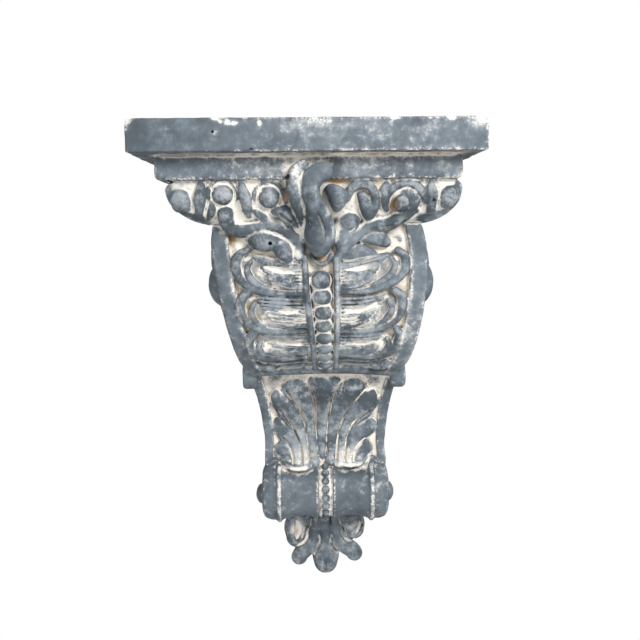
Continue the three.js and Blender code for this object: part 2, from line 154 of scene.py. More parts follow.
class Wood:
    """A piece of wood as distances to its surface on a grid, negative inside it, in millimetres."""

    FAR = 60.0
    MARGIN = 6.0
    SOFT_RADII = 3
    SKIN_PITCHES = 3

    def __init__(self, low: Sequence[float], high: Sequence[float], pitch: float) -> None:
        """Starts with no wood at all.

        Args:
            low: Lowest x, reach and drop of the grid.
            high: Highest x, reach and drop of the grid.
            pitch: Distance between grid points.
        """
        self.low = np.array(low, float)
        self.pitch = pitch
        counts = np.ceil((np.array(high) - self.low) / pitch).astype(int) + 1
        self.axes = [
            (start + pitch * np.arange(count)).astype(np.float32) for start, count in zip(self.low, counts)
        ]
        self.distance = np.full(tuple(counts), self.FAR, np.float32)

    def window(self, low: Sequence[float], high: Sequence[float]) -> Window:
        """Picks the part of the grid in a box, with a margin around it.

        Args:
            low: Lowest x, reach and drop of the box.
            high: Highest x, reach and drop of the box.

        Returns:
            The window on the grid.
        """
        where = []
        for axis, start, end in zip(self.axes, low, high):
            first = int(np.searchsorted(axis, start - self.MARGIN))
            last = int(np.searchsorted(axis, end + self.MARGIN))
            where.append(slice(max(0, first), max(first + 1, last)))
        x, reach, drop = (axis[part] for axis, part in zip(self.axes, where))
        return Window(tuple(where), x[:, None, None], reach[None, :, None], drop[None, None, :])

    def join(self, window: Window, shape: np.ndarray, blend: float) -> None:
        """Adds a shape, with a soft fillet where it meets the wood.

        Args:
            window: Where the shape lies.
            shape: Distances to the shape in that window.
            blend: Size of the fillet.
        """
        here = self.distance[window.where]
        near = np.maximum(blend - np.abs(here - shape), 0)
        self.distance[window.where] = np.minimum(here, shape) - near * near / (4 * blend)

    def carve(self, window: Window, shape: np.ndarray, blend: float) -> None:
        """Cuts a shape out, with a soft edge where it leaves the wood.

        Args:
            window: Where the shape lies.
            shape: Distances to the shape in that window.
            blend: Softness of the edge.
        """
        here = self.distance[window.where]
        near = np.maximum(blend - np.abs(here + shape), 0)
        self.distance[window.where] = np.maximum(here, -shape) + near * near / (4 * blend)

    def roughen(self, size: float, spacing: float, rng: np.random.Generator) -> None:
        """Makes the whole surface slightly uneven, as cut by hand.

        Args:
            size: How far the surface moves.
            spacing: Distance between the unevennesses.
            rng: Seeded source of randomness.
        """
        coarse_counts = [int((axis[-1] - axis[0]) / spacing) + 2 for axis in self.axes]
        wander = rng.standard_normal(coarse_counts).astype(np.float32) * size
        for number, axis in enumerate(self.axes):
            at = (axis - axis[0]) / spacing
            first = np.minimum(at.astype(int), coarse_counts[number] - 2)
            t = (at - first).astype(np.float32)
            t = t * t * (3 - 2 * t)
            shape = [1, 1, 1]
            shape[number] = len(t)
            t = t.reshape(shape)
            wander = np.take(wander, first, number) * (1 - t) + np.take(wander, first + 1, number) * t
        self.distance += wander

    def softened(self, radius: float) -> np.ndarray:
        """Averages the distances over small boxes, which shows hollows as negative and crests as positive.

        Args:
            radius: Half the size of the box.

        Returns:
            The averaged distances on the whole grid.
        """
        reach = max(1, round(radius / self.pitch))
        limit = self.SOFT_RADII * radius
        soft = np.clip(self.distance, -limit, limit)
        for axis in range(3):
            pad = [(0, 0)] * 3
            pad[axis] = (reach + 1, reach)
            total = np.cumsum(np.pad(soft, pad, mode="edge"), axis=axis, dtype=np.float64)
            upper = np.take(total, range(2 * reach + 1, total.shape[axis]), axis)
            lower = np.take(total, range(0, total.shape[axis] - 2 * reach - 1), axis)
            soft = ((upper - lower) / (2 * reach + 1)).astype(np.float32)
        return soft

    def read(self, values: np.ndarray, points: np.ndarray) -> np.ndarray:
        """Reads grid values at places between the grid points.

        Args:
            values: An array on the whole grid.
            points: Rows of x, reach and drop.

        Returns:
            The value at each point.
        """
        at = (points - self.low) / self.pitch
        limits = np.array(values.shape) - 2
        first = np.clip(at.astype(int), 0, limits)
        part = np.clip(at - first, 0, 1)
        found = np.zeros(len(points))
        for corner in np.ndindex(2, 2, 2):
            weight = np.prod(np.where(corner, part, 1 - part), axis=1)
            i, j, k = (first + np.array(corner)).T
            found += weight * values[i, j, k]
        return found

    def skin(self) -> tuple[np.ndarray, np.ndarray]:
        """Meshes the surface.

        Returns:
            Rows of x, reach and drop, and faces of four corners each.
        """
        band = self.SKIN_PITCHES * self.pitch
        grid = openvdb.FloatGrid(band)
        grid.copyFromArray(np.clip(self.distance, -band, band))
        points, triangles, quads = grid.convertToPolygons(isovalue=0.0, adaptivity=0.0)
        if len(triangles):
            LOG.warning("%d loose triangles in the skin", len(triangles))
        points, quads = outer_shell(points, quads)
        return points * self.pitch + self.low, quads


def outer_shell(points: np.ndarray, faces: np.ndarray) -> tuple[np.ndarray, np.ndarray]:
    """Keeps the largest connected shell and drops loose crumbs and closed pockets.

    Args:
        points: The points of all shells.
        faces: Their faces, as rows of point numbers.

    Returns:
        The points and faces of the largest shell.
    """
    shell = np.arange(len(points))
    settled = False
    while not settled:
        before = shell.copy()
        np.minimum.at(shell, faces, shell[faces].min(axis=1)[:, None])
        shell = shell[shell]
        settled = np.array_equal(shell, before)
    face_shell = shell[faces[:, 0]]
    kept = faces[face_shell == np.bincount(face_shell).argmax()]
    used, renumbered = np.unique(kept, return_inverse=True)
    return points[used], renumbered.reshape(kept.shape)


def rounded(parts: Sequence[np.ndarray], rounding: float) -> np.ndarray:
    """Distance to a form bounded by several faces, with its edges rounded over.

    Args:
        parts: Distances to the faces, negative behind each.
        rounding: Radius of the rounded edges.

    Returns:
        The distance to the form.
    """
    outside = 0.0
    deepest = None
    for part in parts:
        moved = part + rounding
        outside = outside + np.maximum(moved, 0) ** 2
        deepest = moved if deepest is None else np.maximum(deepest, moved)
    return np.sqrt(outside) + np.minimum(deepest, 0) - rounding


def swept(window: Window, centres: np.ndarray, radii: np.ndarray, depth: float) -> np.ndarray:
    """Distance to a rounded section swept along a line.

    Args:
        window: Where to measure.
        centres: Rows of x, reach and drop along the line.
        radii: Half width at each row.
        depth: Half depth along the reach, as a part of the half width.

    Returns:
        The distances in the window.
    """
    stretch = np.array([1.0, 1.0 / depth, 1.0])
    reach = window.reach * np.float32(stretch[1])
    nearest = None
    for start, end, first, last in zip(centres[:-1], centres[1:], radii[:-1], radii[1:]):
        begin = (start * stretch).astype(np.float32)
        run = ((end - start) * stretch).astype(np.float32)
        length = np.float32(max(float(run @ run), SHORTEST_SQUARE))
        from_x, from_reach, from_drop = window.x - begin[0], reach - begin[1], window.drop - begin[2]
        ahead = from_x * run[0] + from_reach * run[1] + from_drop * run[2]
        t = np.clip(ahead / length, 0, 1)
        away = from_x * from_x + from_reach * from_reach + from_drop * from_drop
        square = away - t * (2 * ahead - t * length)
        gap = np.sqrt(np.maximum(square, 0)) - (np.float32(first) + np.float32(last - first) * t)
        nearest = gap if nearest is None else np.minimum(nearest, gap)
    return nearest


def egg(window: Window, centre: Sequence[float], halves: Sequence[float]) -> np.ndarray:
    """Distance to an egg-shaped swelling.

    Args:
        window: Where to measure.
        centre: Its x, reach and drop.
        halves: Its three half sizes.

    Returns:
        The distances in the window.
    """
    square = ((window.x - centre[0]) / halves[0]) ** 2
    square = square + ((window.reach - centre[1]) / halves[1]) ** 2
    square = square + ((window.drop - centre[2]) / halves[2]) ** 2
    return (np.sqrt(square) - 1) * min(halves)


def raise_egg(wood: Wood, centre: Sequence[float], halves: Sequence[float], blend: float = 1.0) -> None:
    """Raises an egg-shaped swelling.

    Args:
        wood: The wood it is raised in.
        centre: Its x, reach and drop.
        halves: Its three half sizes.
        blend: Size of the fillet around it.
    """
    window = wood.window(np.array(centre) - halves, np.array(centre) + halves)
    wood.join(window, egg(window, centre, halves).astype(np.float32), blend)


@dataclass(frozen=True)
class ScrollBody:
    """The plain scroll behind the carving: how far it reaches, how wide it is and where its axis runs."""

    top: float = 100.0
    bottom: float = 526.0
    side_recess: float = 4.0
    rounding: float = 3.0
    side_room: float = 10.0
    front_room: float = 170.0
    ground_knots: Knots = (
        (60, 166), (75, 165), (92, 155), (107, 139), (125, 140), (150, 143), (178, 143), (205, 139),
        (232, 130), (258, 114), (272, 99), (282, 88), (296, 79), (320, 69), (345, 65), (368, 69), (388, 80),
        (412, 88), (440, 76), (458, 60), (480, 50), (505, 45), (540, 40),
    )
    width_knots: Knots = (
        (100, 112), (122, 116), (160, 115), (193, 111), (227, 105), (258, 97), (276, 89), (297, 83),
        (333, 76), (365, 72), (388, 72), (430, 66), (452, 48), (480, 44), (500, 38), (516, 20), (532, 12),
    )
    axis_knots: Knots = ((60, -10), (107, -7), (160, -3), (210, -1), (260, 0), (540, 1))

    def ground(self, drop: np.ndarray) -> np.ndarray:
        """Reach of the carved ground at each drop."""
        return through_knots(self.ground_knots, drop)

    def reach_at(self, drop: float) -> float:
        """Reach of the carved ground at one drop."""
        return float(self.ground(np.array(drop)))

    def half_width(self, drop: np.ndarray) -> np.ndarray:
        """Half the width of the scroll at each drop."""
        return through_knots(self.width_knots, drop)

    def axis(self, drop: np.ndarray) -> np.ndarray:
        """Middle of the scroll at each drop."""
        return through_knots(self.axis_knots, drop)

    def on_front(self, line: Line, count: int) -> np.ndarray:
        """Lays a line on the carved front.

        Args:
            line: Points of x, drop and lift over the ground.
            count: How many samples to take along it.

        Returns:
            Rows of x, reach and drop.
        """
        x, drop, lift = along_line(line, count).T
        return np.stack([x, self.ground(drop) + lift, drop], axis=1)

    def lean(self, sizes: np.ndarray, drop: np.ndarray) -> np.ndarray:
        """Factor that turns a level distance to a leaning face into the distance square to it.

        Args:
            sizes: The face's place at each drop.
            drop: The drops, evenly spaced.

        Returns:
            The factor at each drop.
        """
        return 1 / np.sqrt(1 + np.gradient(sizes, drop) ** 2)

    def carve(self, wood: Wood) -> None:
        """Cuts the plain scroll.

        Args:
            wood: The wood it is cut in.
        """
        room = max(size for _, size in self.width_knots) + self.side_room
        window = wood.window((-room, 0, self.top), (room, self.front_room, self.bottom))
        drop = window.drop.ravel()
        front = self.ground(drop)
        half = self.half_width(drop) - self.side_recess
        faces = (
            (np.abs(window.x - self.axis(drop)) - half) * self.lean(half, drop),
            (window.reach - front) * self.lean(front, drop),
            np.maximum(self.top - window.drop, window.drop - self.bottom),
        )
        wood.join(window, rounded(faces, self.rounding).astype(np.float32), blend=1.0)


@dataclass(frozen=True)
class Stroke:
    """One stroke of the carving: a rounded section along a line laid on the front."""

    line: Line
    widths: Sequence[float]
    depth: float = 0.8
    blend: float = 2.0
    samples: int = 22

    def _shape(self, wood: Wood, body: ScrollBody) -> tuple[Window, np.ndarray]:
        """Measures the stroke on the grid.

        Args:
            wood: The wood that it is carved in.
            body: The scroll that it is laid on.

        Returns:
            The stroke's window, and its distances there.
        """
        centres = body.on_front(self.line, self.samples)
        radii = spread(self.widths, self.samples)
        room = radii[:, None] * np.array([1.0, self.depth, 1.0]) + self.blend
        window = wood.window((centres - room).min(axis=0), (centres + room).max(axis=0))
        return window, swept(window, centres, radii, self.depth)

    def raise_in(self, wood: Wood, body: ScrollBody) -> None:
        """Leaves the stroke standing as a ridge."""
        wood.join(*self._shape(wood, body), self.blend)

    def cut_in(self, wood: Wood, body: ScrollBody) -> None:
        """Cuts the stroke as a groove."""
        wood.carve(*self._shape(wood, body), self.blend)


@dataclass(frozen=True)
class Crown:
    """The shelf and the plain step under it, with the knocks that the shelf has taken."""

    middle: float = -17.0
    shelf_width: float = 365.0
    shelf_reach: float = 200.0
    shelf_bottom: float = 33.5
    step_width: float = 319.0
    step_middle: float = -15.5
    step_reach: float = 176.0
    step_bottom: float = 60.5
    edge: float = 1.6
    step_edge: float = 6.0
    step_sunk: float = 8.0
    quirk: float = 1.6
    quirk_ends: tuple[float, float] = (2.0, 5.0)
    corner_chip: Sequence[float] = (7.5, 6.0, 5.0)
    edge_chips: Sequence[tuple[float, float, float]] = (
        (-109, 0.5, 2.6), (-104, 4.0, 1.8), (-97, 5.0, 2.6), (-90, 6.0, 2.8), (-65, 5.5, 2.2),
        (-30, 0.5, 2.0), (20, 0.5, 1.8), (70, 0.5, 2.4), (128, 2.0, 3.0),
    )
    edge_chip_out: float = 0.6
    edge_chip_length: float = 1.6
    foot_chips: Sequence[tuple[float, float]] = ((-150, 2.2), (-78, 2.6), (-122, 1.6), (10, 1.6), (130, 2.2))
    foot_chip_down: float = 0.4
    foot_chip_length: float = 1.8
    pin: tuple[float, float, float] = (-112.0, 14.0, 1.8)
    pin_depth: float = 2.0

    def carve(self, wood: Wood) -> None:
        """Cuts the shelf and step, then knocks chips from their edges.

        Args:
            wood: The wood they are cut in.
        """
        half = self.shelf_width / 2
        high = (self.middle + half, self.shelf_reach, self.step_bottom)
        window = wood.window((self.middle - half, 0, 0), high)
        half_thick = self.shelf_bottom / 2
        shelf_faces = (
            np.abs(window.x - self.middle) - half,
            window.reach - self.shelf_reach,
            np.abs(window.drop - half_thick) - half_thick,
        )
        wood.join(window, rounded(shelf_faces, self.edge), blend=0.5)
        tuck = self._tuck(window.drop)
        step_top = self.shelf_bottom - self.step_sunk
        step_faces = (
            np.abs(window.x - self.step_middle) + tuck - self.step_width / 2,
            window.reach + tuck - self.step_reach,
            np.maximum(step_top - window.drop, window.drop - self.step_bottom),
        )
        wood.join(window, rounded(step_faces, self.edge), blend=1.0)
        self._knock(wood)

    def _tuck(self, drop: np.ndarray) -> np.ndarray:
        """How far the step draws in towards its rounded lower edge, and at the quirk under the shelf.

        Args:
            drop: Drops to measure at.

        Returns:
            The distance drawn in at each.
        """
        into = np.clip((drop - (self.step_bottom - self.step_edge)) / self.step_edge, 0, 1)
        low, high = (self.shelf_bottom + end for end in self.quirk_ends)
        quirk = self.quirk * (1 - smooth_step(drop, low, high))
        return self.step_edge * (1 - np.sqrt(1 - into * into)) + quirk

    def _knock(self, wood: Wood) -> None:
        """Knocks chips from the shelf's corners and edges.

        Args:
            wood: The wood they are knocked from.
        """
        for side in SIDES:
            corner = (self.middle + side * self.shelf_width / 2, self.shelf_reach, 0.0)
            self._chip(wood, corner, self.corner_chip)
        for x, drop, size in self.edge_chips:
            place = (x, self.shelf_reach + self.edge_chip_out * size, drop)
            self._chip(wood, place, (self.edge_chip_length * size, size, size))
        for x, size in self.foot_chips:
            place = (x, self.shelf_reach, self.shelf_bottom + self.foot_chip_down * size)
            self._chip(wood, place, (self.foot_chip_length * size, size, size))
        x, drop, size = self.pin
        self._chip(wood, (x, self.shelf_reach, drop), (size, self.pin_depth * size, size))

    def _chip(self, wood: Wood, centre: Sequence[float], halves: Sequence[float]) -> None:
        """Knocks out one chip.

        Args:
            wood: The wood it is knocked from.
            centre: Its x, reach and drop.
            halves: Its half sizes.
        """
        window = wood.window(np.array(centre) - halves, np.array(centre) + halves)
        wood.carve(window, egg(window, centre, halves).astype(np.float32), blend=0.8)


@dataclass(frozen=True)
class Frieze:
    """The quarter-round frieze with its egg lobes and the darts between them."""

    top: float = 56.0
    fillet_bottom: float = 69.0
    bottom: float = 107.0
    top_width: float = 312.0
    foot_width: float = 208.0
    top_reach: float = 166.0
    foot_reach: float = 138.0
    front_room: float = 170.0
    neck_in: float = 9.0
    neck_height: float = 10.0
    top_middle: float = -10.0
    foot_middle: float = -7.0
    rounding: float = 2.0
    corner_leaves: Sequence[Line] = (
        ((-155, 73, -4), (-150, 80, 0), (-143, 87, -2)),
        ((136, 73, -4), (132, 78, 0), (126, 84, -2)),
    )
    corner_leaf_widths: Sequence[float] = (7, 11.5, 6)
    eggs: Sequence[tuple[float, float, float, float]] = (
        (-106, 74, 12, 11.5), (-58, 77, 12, 12.5), (88, 79, 15, 16),
    )
    egg_rise: float = 8.0
    ring_gap: float = 3.6
    ring_lift: float = 1.0
    ring_half_turn: float = 0.8 * math.pi
    ring_points: int = 13
    ring_widths: Sequence[float] = (1.8, 2.6, 2.8, 2.6, 1.8)
    ball: tuple[float, float, float, float] = (81, 85, 9.5, 9.5)
    ball_lift: float = 7.0
    darts: Sequence[Line] = (
        ((-128, 63, 2), (-130, 76, 4), (-132, 95, 3)),
        ((-87, 63, 2), (-83, 78, 4), (-80, 96, 3)),
        ((112, 63, 2), (113, 77, 4), (113, 93, 3)),
        ((66, 64, 1), (63, 76, 3), (66, 90, 2)),
        ((-35, 64, 1), (-37, 74, 3), (-40, 84, 1)),
    )
    dart_widths: Sequence[float] = (4.2, 6.4, 5.0)
    cuts: Sequence[float] = (-142, -137, -121, -93, -77, -73, -69, -44, 27, 55, 59, 72, 104, 108, 118, 122)
    cut_top: float = 62.0
    cut_length: float = 13.0
    cut_lean: float = 0.06
    cut_lifts: tuple[float, float] = (2.5, 1.5)
    cut_widths: Sequence[float] = (2.2, 0.9)
    side_eggs: Sequence[float] = (126, 78, 30)
    side_egg_inset: float = 7.0
    side_egg_drop: float = 78.0
    side_egg_halves: Sequence[float] = (8.0, 13.0, 13.5)

    def carve(self, wood: Wood, body: ScrollBody) -> None:
        """Cuts the frieze and raises its lobes.

        Args:
            wood: The wood it is cut in.
            body: The scroll whose front it shares.
        """
        half = self.top_width / 2
        high = (self.top_middle + half, self.front_room, self.bottom)
        window = wood.window((self.top_middle - half, 0, self.top), high)
        into = np.clip((window.drop - self.fillet_bottom) / (self.bottom - self.fillet_bottom), 0, 1)
        round_over = np.sqrt(1 - into * into)
        halves = (self.foot_width + (self.top_width - self.foot_width) * round_over) / 2
        up_neck = np.clip((self.fillet_bottom - window.drop) / self.neck_height, 0, 1)
        halves = halves - self.neck_in * up_neck**2
        middle = self.foot_middle + (self.top_middle - self.foot_middle) * round_over
        front = self.foot_reach + (self.top_reach - self.foot_reach) * round_over
        faces = (
            np.abs(window.x - middle) - halves,
            window.reach - front,
            np.maximum(self.top - window.drop, window.drop - self.bottom),
        )
        wood.join(window, rounded(faces, self.rounding).astype(np.float32), blend=1.5)
        self._front_lobes(wood, body)
        self._side_lobes(wood)

    def _front_lobes(self, wood: Wood, body: ScrollBody) -> None:
        """Raises the eggs in their rings, the corner leaves and the darts, and cuts the chisel marks between.

        Args:
            wood: The wood they are raised in.
            body: The scroll whose front they lie on.
        """
        for dart in self.darts:
            Stroke(dart, self.dart_widths, depth=0.75, blend=2.5).raise_in(wood, body)
        for x, drop, half, half_height in self.eggs:
            self._ring(wood, body, (x, drop, half + self.ring_gap, half_height + self.ring_gap))
            raise_egg(wood, (x, body.reach_at(drop), drop), (half, self.egg_rise, half_height))
        x, drop, half, half_height = self.ball
        raise_egg(wood, (x, body.reach_at(drop) + self.ball_lift, drop), (half, half, half_height))
        head_lift, foot_lift = self.cut_lifts
        for x in self.cuts:
            foot = (x * (1 - self.cut_lean), self.cut_top + self.cut_length, foot_lift)
            cut = ((x, self.cut_top, head_lift), foot)
            Stroke(cut, self.cut_widths, depth=1.2, blend=1.0, samples=10).cut_in(wood, body)
        for leaf in self.corner_leaves:
            Stroke(leaf, self.corner_leaf_widths, depth=0.75).raise_in(wood, body)

    def _ring(self, wood: Wood, body: ScrollBody, egg_size: Sequence[float]) -> None:
        """Raises the ring round one egg, open at its foot.

        Args:
            wood: The wood it is raised in.
            body: The scroll whose front it lies on.
            egg_size: Its x, drop, half width and half height.
        """
        x, drop, half, half_height = egg_size
        turns = np.linspace(-self.ring_half_turn, self.ring_half_turn, self.ring_points) - math.pi / 2
        ring = [
            (x + half * math.cos(turn), drop + half_height * math.sin(turn), self.ring_lift) for turn in turns
        ]
        Stroke(ring, self.ring_widths, depth=1.4, blend=1.2, samples=40).raise_in(wood, body)

    def _side_lobes(self, wood: Wood) -> None:
        """Raises plainer eggs along the two sides.

        Args:
            wood: The wood they are raised in.
        """
        for side in SIDES:
            x = self.top_middle + side * (self.top_width / 2 - self.side_egg_inset)
            for reach in self.side_eggs:
                raise_egg(wood, (x, reach, self.side_egg_drop), self.side_egg_halves)


@dataclass(frozen=True)
class EdgeStrip:
    """A raised strip along one edge of the scroll."""

    top: float
    bottom: float
    width: float
    foot_width: float
    rise: float
    depth: float
    rounding: float
    half_room: float = 125.0
    front_room: float = 175.0

    def carve(self, wood: Wood, body: ScrollBody, side: int) -> None:
        """Raises the strip on one side.

        Args:
            wood: The wood it is raised in.
            body: The scroll whose edge it follows.
            side: -1 for the left and 1 for the right.
        """
        high = (self.half_room, self.front_room, self.bottom)
        window = wood.window((-self.half_room, 0, self.top), high)
        drop = window.drop.ravel()
        half = body.half_width(drop)
        front = body.ground(drop) + self.rise
        half_strip = np.interp(drop, (self.top, self.bottom), (self.width / 2, self.foot_width / 2))
        middle = body.axis(drop) + side * (half - half_strip)
        faces = (
            (np.abs(window.x - middle) - half_strip) * body.lean(half, drop),
            np.maximum(window.reach - front, front - self.depth - window.reach) * body.lean(front, drop),
            np.maximum(self.top - window.drop, window.drop - self.bottom),
        )
        wood.join(window, rounded(faces, self.rounding).astype(np.float32), blend=1.5)


@dataclass(frozen=True)
class LeafTier:
    """One tier of ribbed leaf on one side: a hook round a fluted pad."""

    hook: Sequence[tuple[float, float]]
    inner: Sequence[tuple[float, float]]
    slot: Sequence[tuple[float, float]]
    pad: Sequence[tuple[float, float]]
    pad_half: float
    rail_x: float
    flute_ends: tuple[float, float, float, float]
    flutes: int = 8
    flute_lifts: tuple[float, float] = (8.0, 9.6)
    flute_widths: Sequence[float] = (1.5, 1.9, 1.3)
    flute_bend: float = 0.2
    flute_shortening: float = 0.35
    pad_lift: float = 3.0
    pad_rise: float = 6.0
    inner_lift: float = 8.5
    inner_widths: Sequence[float] = (2.6, 4.8, 4.6, 2.4)
    hook_lift: float = 6.0
    hook_widths: Sequence[float] = (4.2, 6.4, 5.8, 4.8, 4.0, 3.4)
    hook_draw_in: float = 0.99
    slot_lift: float = 10.5
    slot_widths: Sequence[float] = (1.6, 3.6, 1.6)

    def carve(self, wood: Wood, body: ScrollBody) -> None:
        """Raises the pad, its flutes and the hook, then cuts the slot.

        Args:
            wood: The wood it is carved in.
            body: The scroll it lies on.
        """
        pad = self._lifted(self.pad, self.pad_lift)
        pad_depth = self.pad_rise / self.pad_half
        Stroke(pad, (self.pad_half,) * 2, depth=pad_depth, blend=3.0).raise_in(wood, body)
        self._raise_flutes(wood, body)
        inner = self._lifted(self.inner, self.inner_lift)
        Stroke(inner, self.inner_widths, depth=1.25, blend=1.0).raise_in(wood, body)
        hook = self._lifted([(x * self.hook_draw_in, drop) for x, drop in self.hook], self.hook_lift)
        Stroke(hook, self.hook_widths, depth=1.25, blend=1.0, samples=36).raise_in(wood, body)
        slot = self._lifted(self.slot, self.slot_lift)
        Stroke(slot, self.slot_widths, depth=1.4, blend=1.5).cut_in(wood, body)

    def _lifted(self, line: Sequence[tuple[float, float]], lift: float) -> Line:
        """Gives every point of a line the same lift."""
        return tuple((x, drop, lift) for x, drop in line)

    def _raise_flutes(self, wood: Wood, body: ScrollBody) -> None:
        """Raises the fine ridges that run from the rail out to the hook.

        Args:
            wood: The wood they are raised in.
            body: The scroll they lie on.
        """
        rail_x, pad_x = self.rail_x, self.pad[0][0]
        rail_lift, lift = self.flute_lifts
        rail_top, rail_foot, outer_top, outer_foot = self.flute_ends
        for part in np.linspace(0, 1, self.flutes):
            at_rail = rail_top + (rail_foot - rail_top) * part
            at_hook = outer_top + (outer_foot - outer_top) * part
            outer_x = pad_x + (rail_x - pad_x) * self.flute_shortening * part
            halfway = ((rail_x + outer_x) / 2, at_rail + self.flute_bend * (at_hook - at_rail), lift)
            line = ((rail_x, at_rail, rail_lift), halfway, (outer_x, at_hook, lift))
            Stroke(line, self.flute_widths, depth=1.2, blend=0.6, samples=14).raise_in(wood, body)


@dataclass(frozen=True)
class LeafTiers:
    """Three tiers of ribbed leaf on each side of the bead string, and the curls and rim under them."""

    tiers: Sequence[LeafTier] = (
        LeafTier(
            hook=((-84, 133), (-93, 139), (-96, 150), (-92, 162), (-85, 170), (-74, 176), (-59, 179),
                  (-24, 181)),
            inner=((-78, 145), (-83, 152), (-80, 163), (-73, 170), (-61, 175)),
            slot=((-65, 151), (-48, 155), (-32, 158)),
            pad=((-76, 155), (-48, 159), (-35, 161)), pad_half=17, rail_x=-22,
            flute_ends=(150, 175, 140, 168),
        ),
        LeafTier(
            hook=((-81, 176), (-90, 184), (-92, 193), (-88, 204), (-82, 213), (-71, 220), (-55, 223),
                  (-24, 223)),
            inner=((-76, 190), (-80, 199), (-76, 209), (-67, 217)),
            slot=((-49, 199), (-40, 200), (-30, 200)),
            pad=((-74, 199), (-46, 202), (-33, 203)), pad_half=17, rail_x=-20,
            flute_ends=(187, 218, 184, 212),
        ),
        LeafTier(
            hook=((-75, 222), (-83, 230), (-84, 238), (-78, 246), (-69, 254), (-50, 255), (-22, 253)),
            inner=((-71, 234), (-73, 240), (-70, 246), (-62, 251)),
            slot=((-60, 233), (-42, 236), (-25, 239)),
            pad=((-68, 238), (-44, 240), (-26, 240)), pad_half=12, rail_x=-18,
            flute_ends=(229, 249, 227, 247), flutes=6,
        ),
        LeafTier(
            hook=((81, 135), (88, 143), (87, 154), (79, 164), (66, 172), (43, 179), (19, 179)),
            inner=((72, 143), (76, 151), (72, 160), (64, 166), (52, 172)),
            slot=((24, 155), (42, 153), (58, 147)),
            pad=((68, 154), (44, 159), (29, 161)), pad_half=17, rail_x=16,
            flute_ends=(150, 175, 140, 166),
        ),
        LeafTier(
            hook=((77, 178), (85, 186), (85, 195), (80, 207), (68, 216), (52, 222), (19, 223)),
            inner=((70, 189), (73, 198), (67, 208), (56, 216)),
            slot=((24, 200), (40, 199), (58, 192)),
            pad=((66, 199), (42, 202), (29, 203)), pad_half=17, rail_x=16,
            flute_ends=(187, 218, 182, 210),
        ),
        LeafTier(
            hook=((80, 221), (84, 228), (82, 236), (77, 244), (67, 251), (51, 253), (19, 250)),
            inner=((69, 232), (71, 239), (66, 246), (56, 250)),
            slot=((26, 237), (42, 237), (58, 235)),
            pad=((66, 237), (42, 239), (24, 239)), pad_half=12, rail_x=16,
            flute_ends=(229, 248, 226, 245), flutes=6,
        ),
    )
    curls: Sequence[tuple[float, float]] = ((-75, 264), (-62, 267), (70, 264), (60, 266))
    curl_lift: float = 5.0
    curl_run: tuple[float, float] = (2.0, 1.0)
    curl_half: float = 5.5
    foot_flutes: Sequence[Line] = (
        ((-56, 261, 3), (-34, 260, 4), (-14, 259, 3)), ((-52, 266, 3), (-32, 265, 4), (-12, 264, 3)),
        ((16, 257, 3), (36, 259, 4), (54, 260, 3)), ((15, 262, 3), (36, 264, 4), (52, 265, 3)),
        ((15, 267, 3), (34, 268, 3), (50, 270, 2)), ((-50, 270, 2), (-30, 269, 3), (-11, 268, 3)),
    )
    foot_flute_widths: Sequence[float] = (1.6, 2.4, 2.0)
    rim: Line = ((-81, 275, 2), (-28, 272, 2), (18, 272, 2), (64, 275, 2), (80, 277, 2))
    rim_half: float = 5.5

    def carve(self, wood: Wood, body: ScrollBody) -> None:
        """Carves all tiers, then the curls and the rim.

        Args:
            wood: The wood they are carved in.
            body: The scroll they lie on.
        """
        for tier in self.tiers:
            tier.carve(wood, body)
        for flute in self.foot_flutes:
            Stroke(flute, self.foot_flute_widths, depth=1.0, blend=1.5, samples=12).raise_in(wood, body)
        along, down = self.curl_run
        for x, drop in self.curls:
            curl = ((x - along, drop - down, self.curl_lift), (x + along, drop + down, self.curl_lift))
            Stroke(curl, (self.curl_half,), depth=0.9, blend=1.5, samples=4).raise_in(wood, body)
        Stroke(self.rim, (self.rim_half,), depth=1.3, blend=1.5).raise_in(wood, body)


@dataclass(frozen=True)
class BeadString:
    """Beads down the middle of the leaves, each smaller than the one above, between two rails."""

    beads: Sequence[tuple[float, float]] = (
        (-4, 167), (-3, 184), (-2, 201), (-2, 215.5), (-1, 229.5), (0, 242), (0, 253), (1, 262.5),
    )
    first_half: float = 11.4
    last_half: float = 7.6
    aspects: tuple[float, float] = (1.05, 1.25)
    bead_lift: float = 2.5
    bead_swell: float = 0.5
    core: Line = ((-4, 166, 1), (-2, 205, 1), (1, 266, 1))
    core_widths: Sequence[float] = (10.0, 9.0, 6.5)
    rails: Sequence[Line] = (
        ((-22, 142, 6), (-20, 176, 6), (-14, 233, 6), (-10, 270, 4)),
        ((13, 144, 6), (14, 188, 6), (14, 233, 6), (13, 268, 4)),
    )
    rail_widths: Sequence[float] = (4.2, 4.2, 3.6)

    def carve(self, wood: Wood, body: ScrollBody) -> None:
        """Raises the rails and beads.

        Args:
            wood: The wood they are raised in.
            body: The scroll they lie on.
        """
        Stroke(self.core, self.core_widths, depth=0.75, blend=1.0).raise_in(wood, body)
        for rail in self.rails:
            Stroke(rail, self.rail_widths, depth=1.35, blend=1.0).raise_in(wood, body)
        halves = spread((self.first_half, self.last_half), len(self.beads))
        aspects = spread(self.aspects, len(self.beads))
        for (x, drop), half, aspect in zip(self.beads, halves, aspects):
            centre = (x, body.reach_at(drop) + self.bead_lift, drop)
            raise_egg(wood, centre, (half * aspect, half + self.bead_swell, half), blend=0.5)


